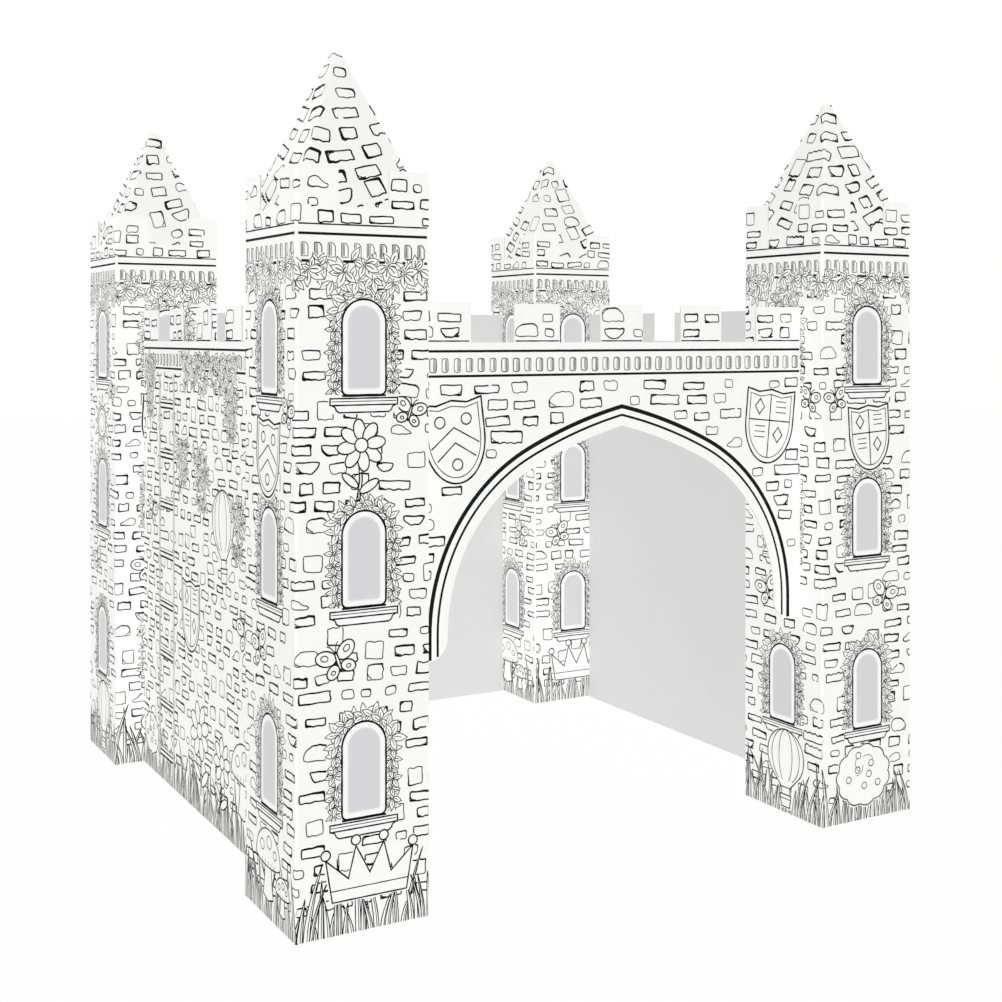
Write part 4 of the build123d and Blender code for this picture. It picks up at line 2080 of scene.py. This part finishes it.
    def toned(self, add: Adder, shade: str, cloud: Node, flute: Node, tone: Range) -> Node:
        """Vary a colour slightly with a cloudy pattern and with the flutes.

        Args:
            add: adds a node to the material.
            shade: the colour.
            cloud: the pattern.
            flute: the flutes' wave.
            tone: the middle level, and the swing.

        Returns:
            The varied colour.
        """
        level, swing = tone
        grain = add("Math", {"operation": "MULTIPLY_ADD"}, cloud, 2 * swing, level - swing)
        ripple = add("Math", {"operation": "MULTIPLY_ADD"}, flute, self.flute_tone, grain)
        return add("Mix", MULTIPLIED, 1.0, i6=linear(shade), i7=ripple)


@dataclass(frozen=True)
class PrintingInk:
    """Water-based flexographic ink: dead black with slightly starved spots where the board dips."""

    full: str = "#0B0B0B"
    starved: str = "#1D1D1D"
    spot_mm: float = 3.0
    spot_levels: Range = (0.45, 0.75)
    roughness: float = 0.75
    ior: float = 1.2

    def build(self) -> Material:
        """Make the ink.

        Returns:
            The material.
        """
        material, add = new_material("flexo_ink_black")
        position = add("NewGeometry").outputs["Position"]
        spots = add("TexNoise", None, position, Scale=1 / (self.spot_mm * MM), Detail=4.0, Roughness=0.65)
        sharp = add("MapRange", None, spots, *self.spot_levels)
        colour = add("Mix", LAID_OVER, sharp, i6=linear(self.full), i7=linear(self.starved))
        shader = add("BsdfPrincipled", None, Base_Color=colour, Roughness=self.roughness, IOR=self.ior)
        add("OutputMaterial", None, Surface=shader)
        return material


@dataclass(frozen=True)
class WindowTint:
    """A grey screen printed on the coated board, which fades to white at its rim.

    Its dots are too fine to show, so they are drawn as a coarser grain.
    """

    rim: str = "#F8F8F7"
    glass: str = "#D3D3D5"
    grain_mm: float = 1.2
    grain_swing: float = 0.02
    grain_level: float = 0.985
    roughness: float = 0.55

    def build(self) -> Material:
        """Make the tint.

        Returns:
            The material.
        """
        material, add = new_material("screened_grey_tint")
        position = add("NewGeometry").outputs["Position"]
        depth = add("Attribute", {"attribute_name": TINT_DEPTH}).outputs["Fac"]
        smooth = add("MapRange", {"interpolation_type": "SMOOTHSTEP"}, depth)
        grain = add("TexNoise", None, position, Scale=1 / (self.grain_mm * MM), Detail=2.0)
        tone = add("Math", {"operation": "MULTIPLY_ADD"}, grain, self.grain_swing, self.grain_level)
        shade = add("Mix", LAID_OVER, smooth, i6=linear(self.rim), i7=linear(self.glass))
        colour = add("Mix", MULTIPLIED, 1.0, i6=shade, i7=tone)
        shader = add("BsdfPrincipled", None, Base_Color=colour, Roughness=self.roughness)
        add("OutputMaterial", None, Surface=shader)
        return material


# The castle's parts

Artwork = TowerPrint | RoofPrint | WallPrint


@dataclass
class Castle:
    """All the sheets of the castle: their board and their print."""

    nodes: dict[str, bpy.types.Object]
    ink: Material
    tint: Material
    arch_seed: int = 71
    wall_seed: int = 50

    def sheet(self, node: str, board: CoatedBoard, artwork: Artwork) -> None:
        """Dress and print one sheet.

        Args:
            node: its node in the frame.
            board: its board.
            artwork: its print.
        """
        mesh = self.nodes[node].data
        mesh.materials.clear()
        mesh.materials.append(board.build("coated_board_" + node))
        LOG.info("%s: dressed", node)
        layer = PrintLayer()
        artwork.draw(layer)
        layer.build("print_" + node, [self.ink, self.tint])

    def towers(self) -> None:
        """Dress and print the towers."""
        for seed, (name, corner) in enumerate(CORNERS.items(), 1):
            board = CoatedBoard(Sheet.TOWER, PLAN.centre(corner) * MM, PLAN.half_tower * MM)
            self.sheet("tower_" + name, board, TowerPrint(corner, seed))

    def roofs(self) -> None:
        """Dress and print the roofs."""
        for seed, (name, corner) in enumerate(CORNERS.items(), 1):
            board = CoatedBoard(Sheet.ROOF, PLAN.centre(corner) * MM, PLAN.half_tower * MM)
            self.sheet("roof_" + name, board, RoofPrint(corner, seed))

    def walls(self) -> None:
        """Dress and print the walls."""
        board = CoatedBoard(Sheet.WALL, Vector(), PLAN.wall_face * MM)
        self.sheet("arch_wall", board, ArchPrint(Side.FRONT, self.arch_seed))
        for side in (Side.RIGHT, Side.BACK, Side.LEFT):
            self.sheet(side.name.lower() + "_wall", board, WallPrint(side, self.wall_seed + side.value))

    def build(self) -> None:
        """Build every part in order."""
        self.towers()
        self.roofs()
        self.walls()


# Studio

@dataclass(frozen=True)
class Studio:
    """The camera of the photograph, a pale floor and plain soft light."""

    eye_mm: tuple[float, float, float] = (-1458.9, -2721.4, 936.7)
    yaw: float = 0.5152
    focal_px: float = 1434.8
    frame_px: float = 1002.0
    horizon_px: float = 336.8
    sensor_mm: float = 36.0
    ambient: float = 0.41
    sun_angle: float = 40.0
    sun_height: float = 8.0
    fills: tuple[tuple[Side, float], ...] = (
        (Side.FRONT, 1.41), (Side.LEFT, 1.26), (Side.RIGHT, 0.78), (Side.BACK, 0.82))
    floor_half: float = 14.0
    floor_shade: str = "#FAFAFA"
    floor_glow: float = 0.98

    def camera(self) -> None:
        """Stand the camera level at eye height, with the frame shifted down to take in the floor."""
        data = bpy.data.cameras.new("camera")
        data.sensor_width = self.sensor_mm
        data.lens = self.focal_px * self.sensor_mm / self.frame_px
        data.shift_y = (self.horizon_px - self.frame_px / 2) / self.frame_px
        data.clip_start, data.clip_end = 0.05, 100
        camera = bpy.data.objects.new("camera", data)
        camera.location = Vector(self.eye_mm) * MM
        camera.rotation_euler = (math.pi / 2, 0, -self.yaw)
        bpy.context.scene.collection.objects.link(camera)
        bpy.context.scene.camera = camera

    def floor(self) -> None:
        """Lay a white floor that keeps a faint shadow of the castle."""
        mesh = bpy.data.meshes.new("floor")
        half = self.floor_half
        corners = [(-half, -half, 0), (half, -half, 0), (half, half, 0), (-half, half, 0)]
        mesh.from_pydata(corners, [], [(0, 1, 2, 3)])
        material, add = new_material("studio_floor")
        matte = add("BsdfDiffuse", None, Color=linear(self.floor_shade))
        glow = add("Emission", None, Color=(1, 1, 1, 1), Strength=1.0)
        ray = add("LightPath").outputs
        seen = add("Math", {"operation": "MAXIMUM"}, ray["Is Camera Ray"], ray["Is Glossy Ray"])
        share = add("Math", {"operation": "MULTIPLY"}, seen, self.floor_glow)
        add("OutputMaterial", None, Surface=add("MixShader", None, share, matte, glow))
        mesh.materials.append(material)
        floor = bpy.data.objects.new("floor", mesh)
        bpy.context.scene.collection.objects.link(floor)

    def world(self) -> None:
        """Surround the castle with even light, white where the camera sees it."""
        world = bpy.data.worlds.new("studio")
        world.use_nodes = True
        world.node_tree.nodes.clear()
        add = partial(add_node, world.node_tree)
        ray = add("LightPath").outputs
        bounced = add("Math", {"operation": "MAXIMUM"}, ray["Is Camera Ray"], ray["Is Glossy Ray"])
        seen = add("Math", {"operation": "MAXIMUM"}, bounced, ray["Is Transmission Ray"])
        strength = add("MapRange", None, seen, i3=self.ambient, i4=1.0)
        light = add("Background", None, Color=(1, 1, 1, 1), Strength=strength)
        add("OutputWorld", None, Surface=light)
        bpy.context.scene.world = world

    def sun(self, side: Side, strength: float) -> None:
        """Hang a large soft lamp far off on one side, low, as a fill that throws no shadow.

        Args:
            side: the side that it lights.
            strength: its light on a surface that faces it, in watts a square metre.
        """
        name = "fill_" + side.name.lower()
        data = bpy.data.lights.new(name, "SUN")
        data.energy = strength
        data.angle = math.radians(self.sun_angle)
        data.use_shadow = False
        lamp = bpy.data.objects.new(name, data)
        height = math.radians(self.sun_height)
        aim = -side.out * math.cos(height) - Vector((0, 0, math.sin(height)))
        lamp.rotation_euler = aim.to_track_quat("-Z", "Y").to_euler()
        bpy.context.scene.collection.objects.link(lamp)

    def build(self) -> None:
        """Set up camera, floor and light."""
        self.camera()
        self.floor()
        self.world()
        for side, strength in self.fills:
            self.sun(side, strength)
        bpy.context.scene.view_settings.view_transform = "Standard"


def main() -> None:
    """Build the castle's looks and the studio."""
    logging.basicConfig(level=logging.INFO, format="%(message)s")
    castle = Castle(frame["nodes"], PrintingInk().build(), WindowTint().build())
    castle.build()
    Studio().build()


if __name__ == "__main__":
    main()
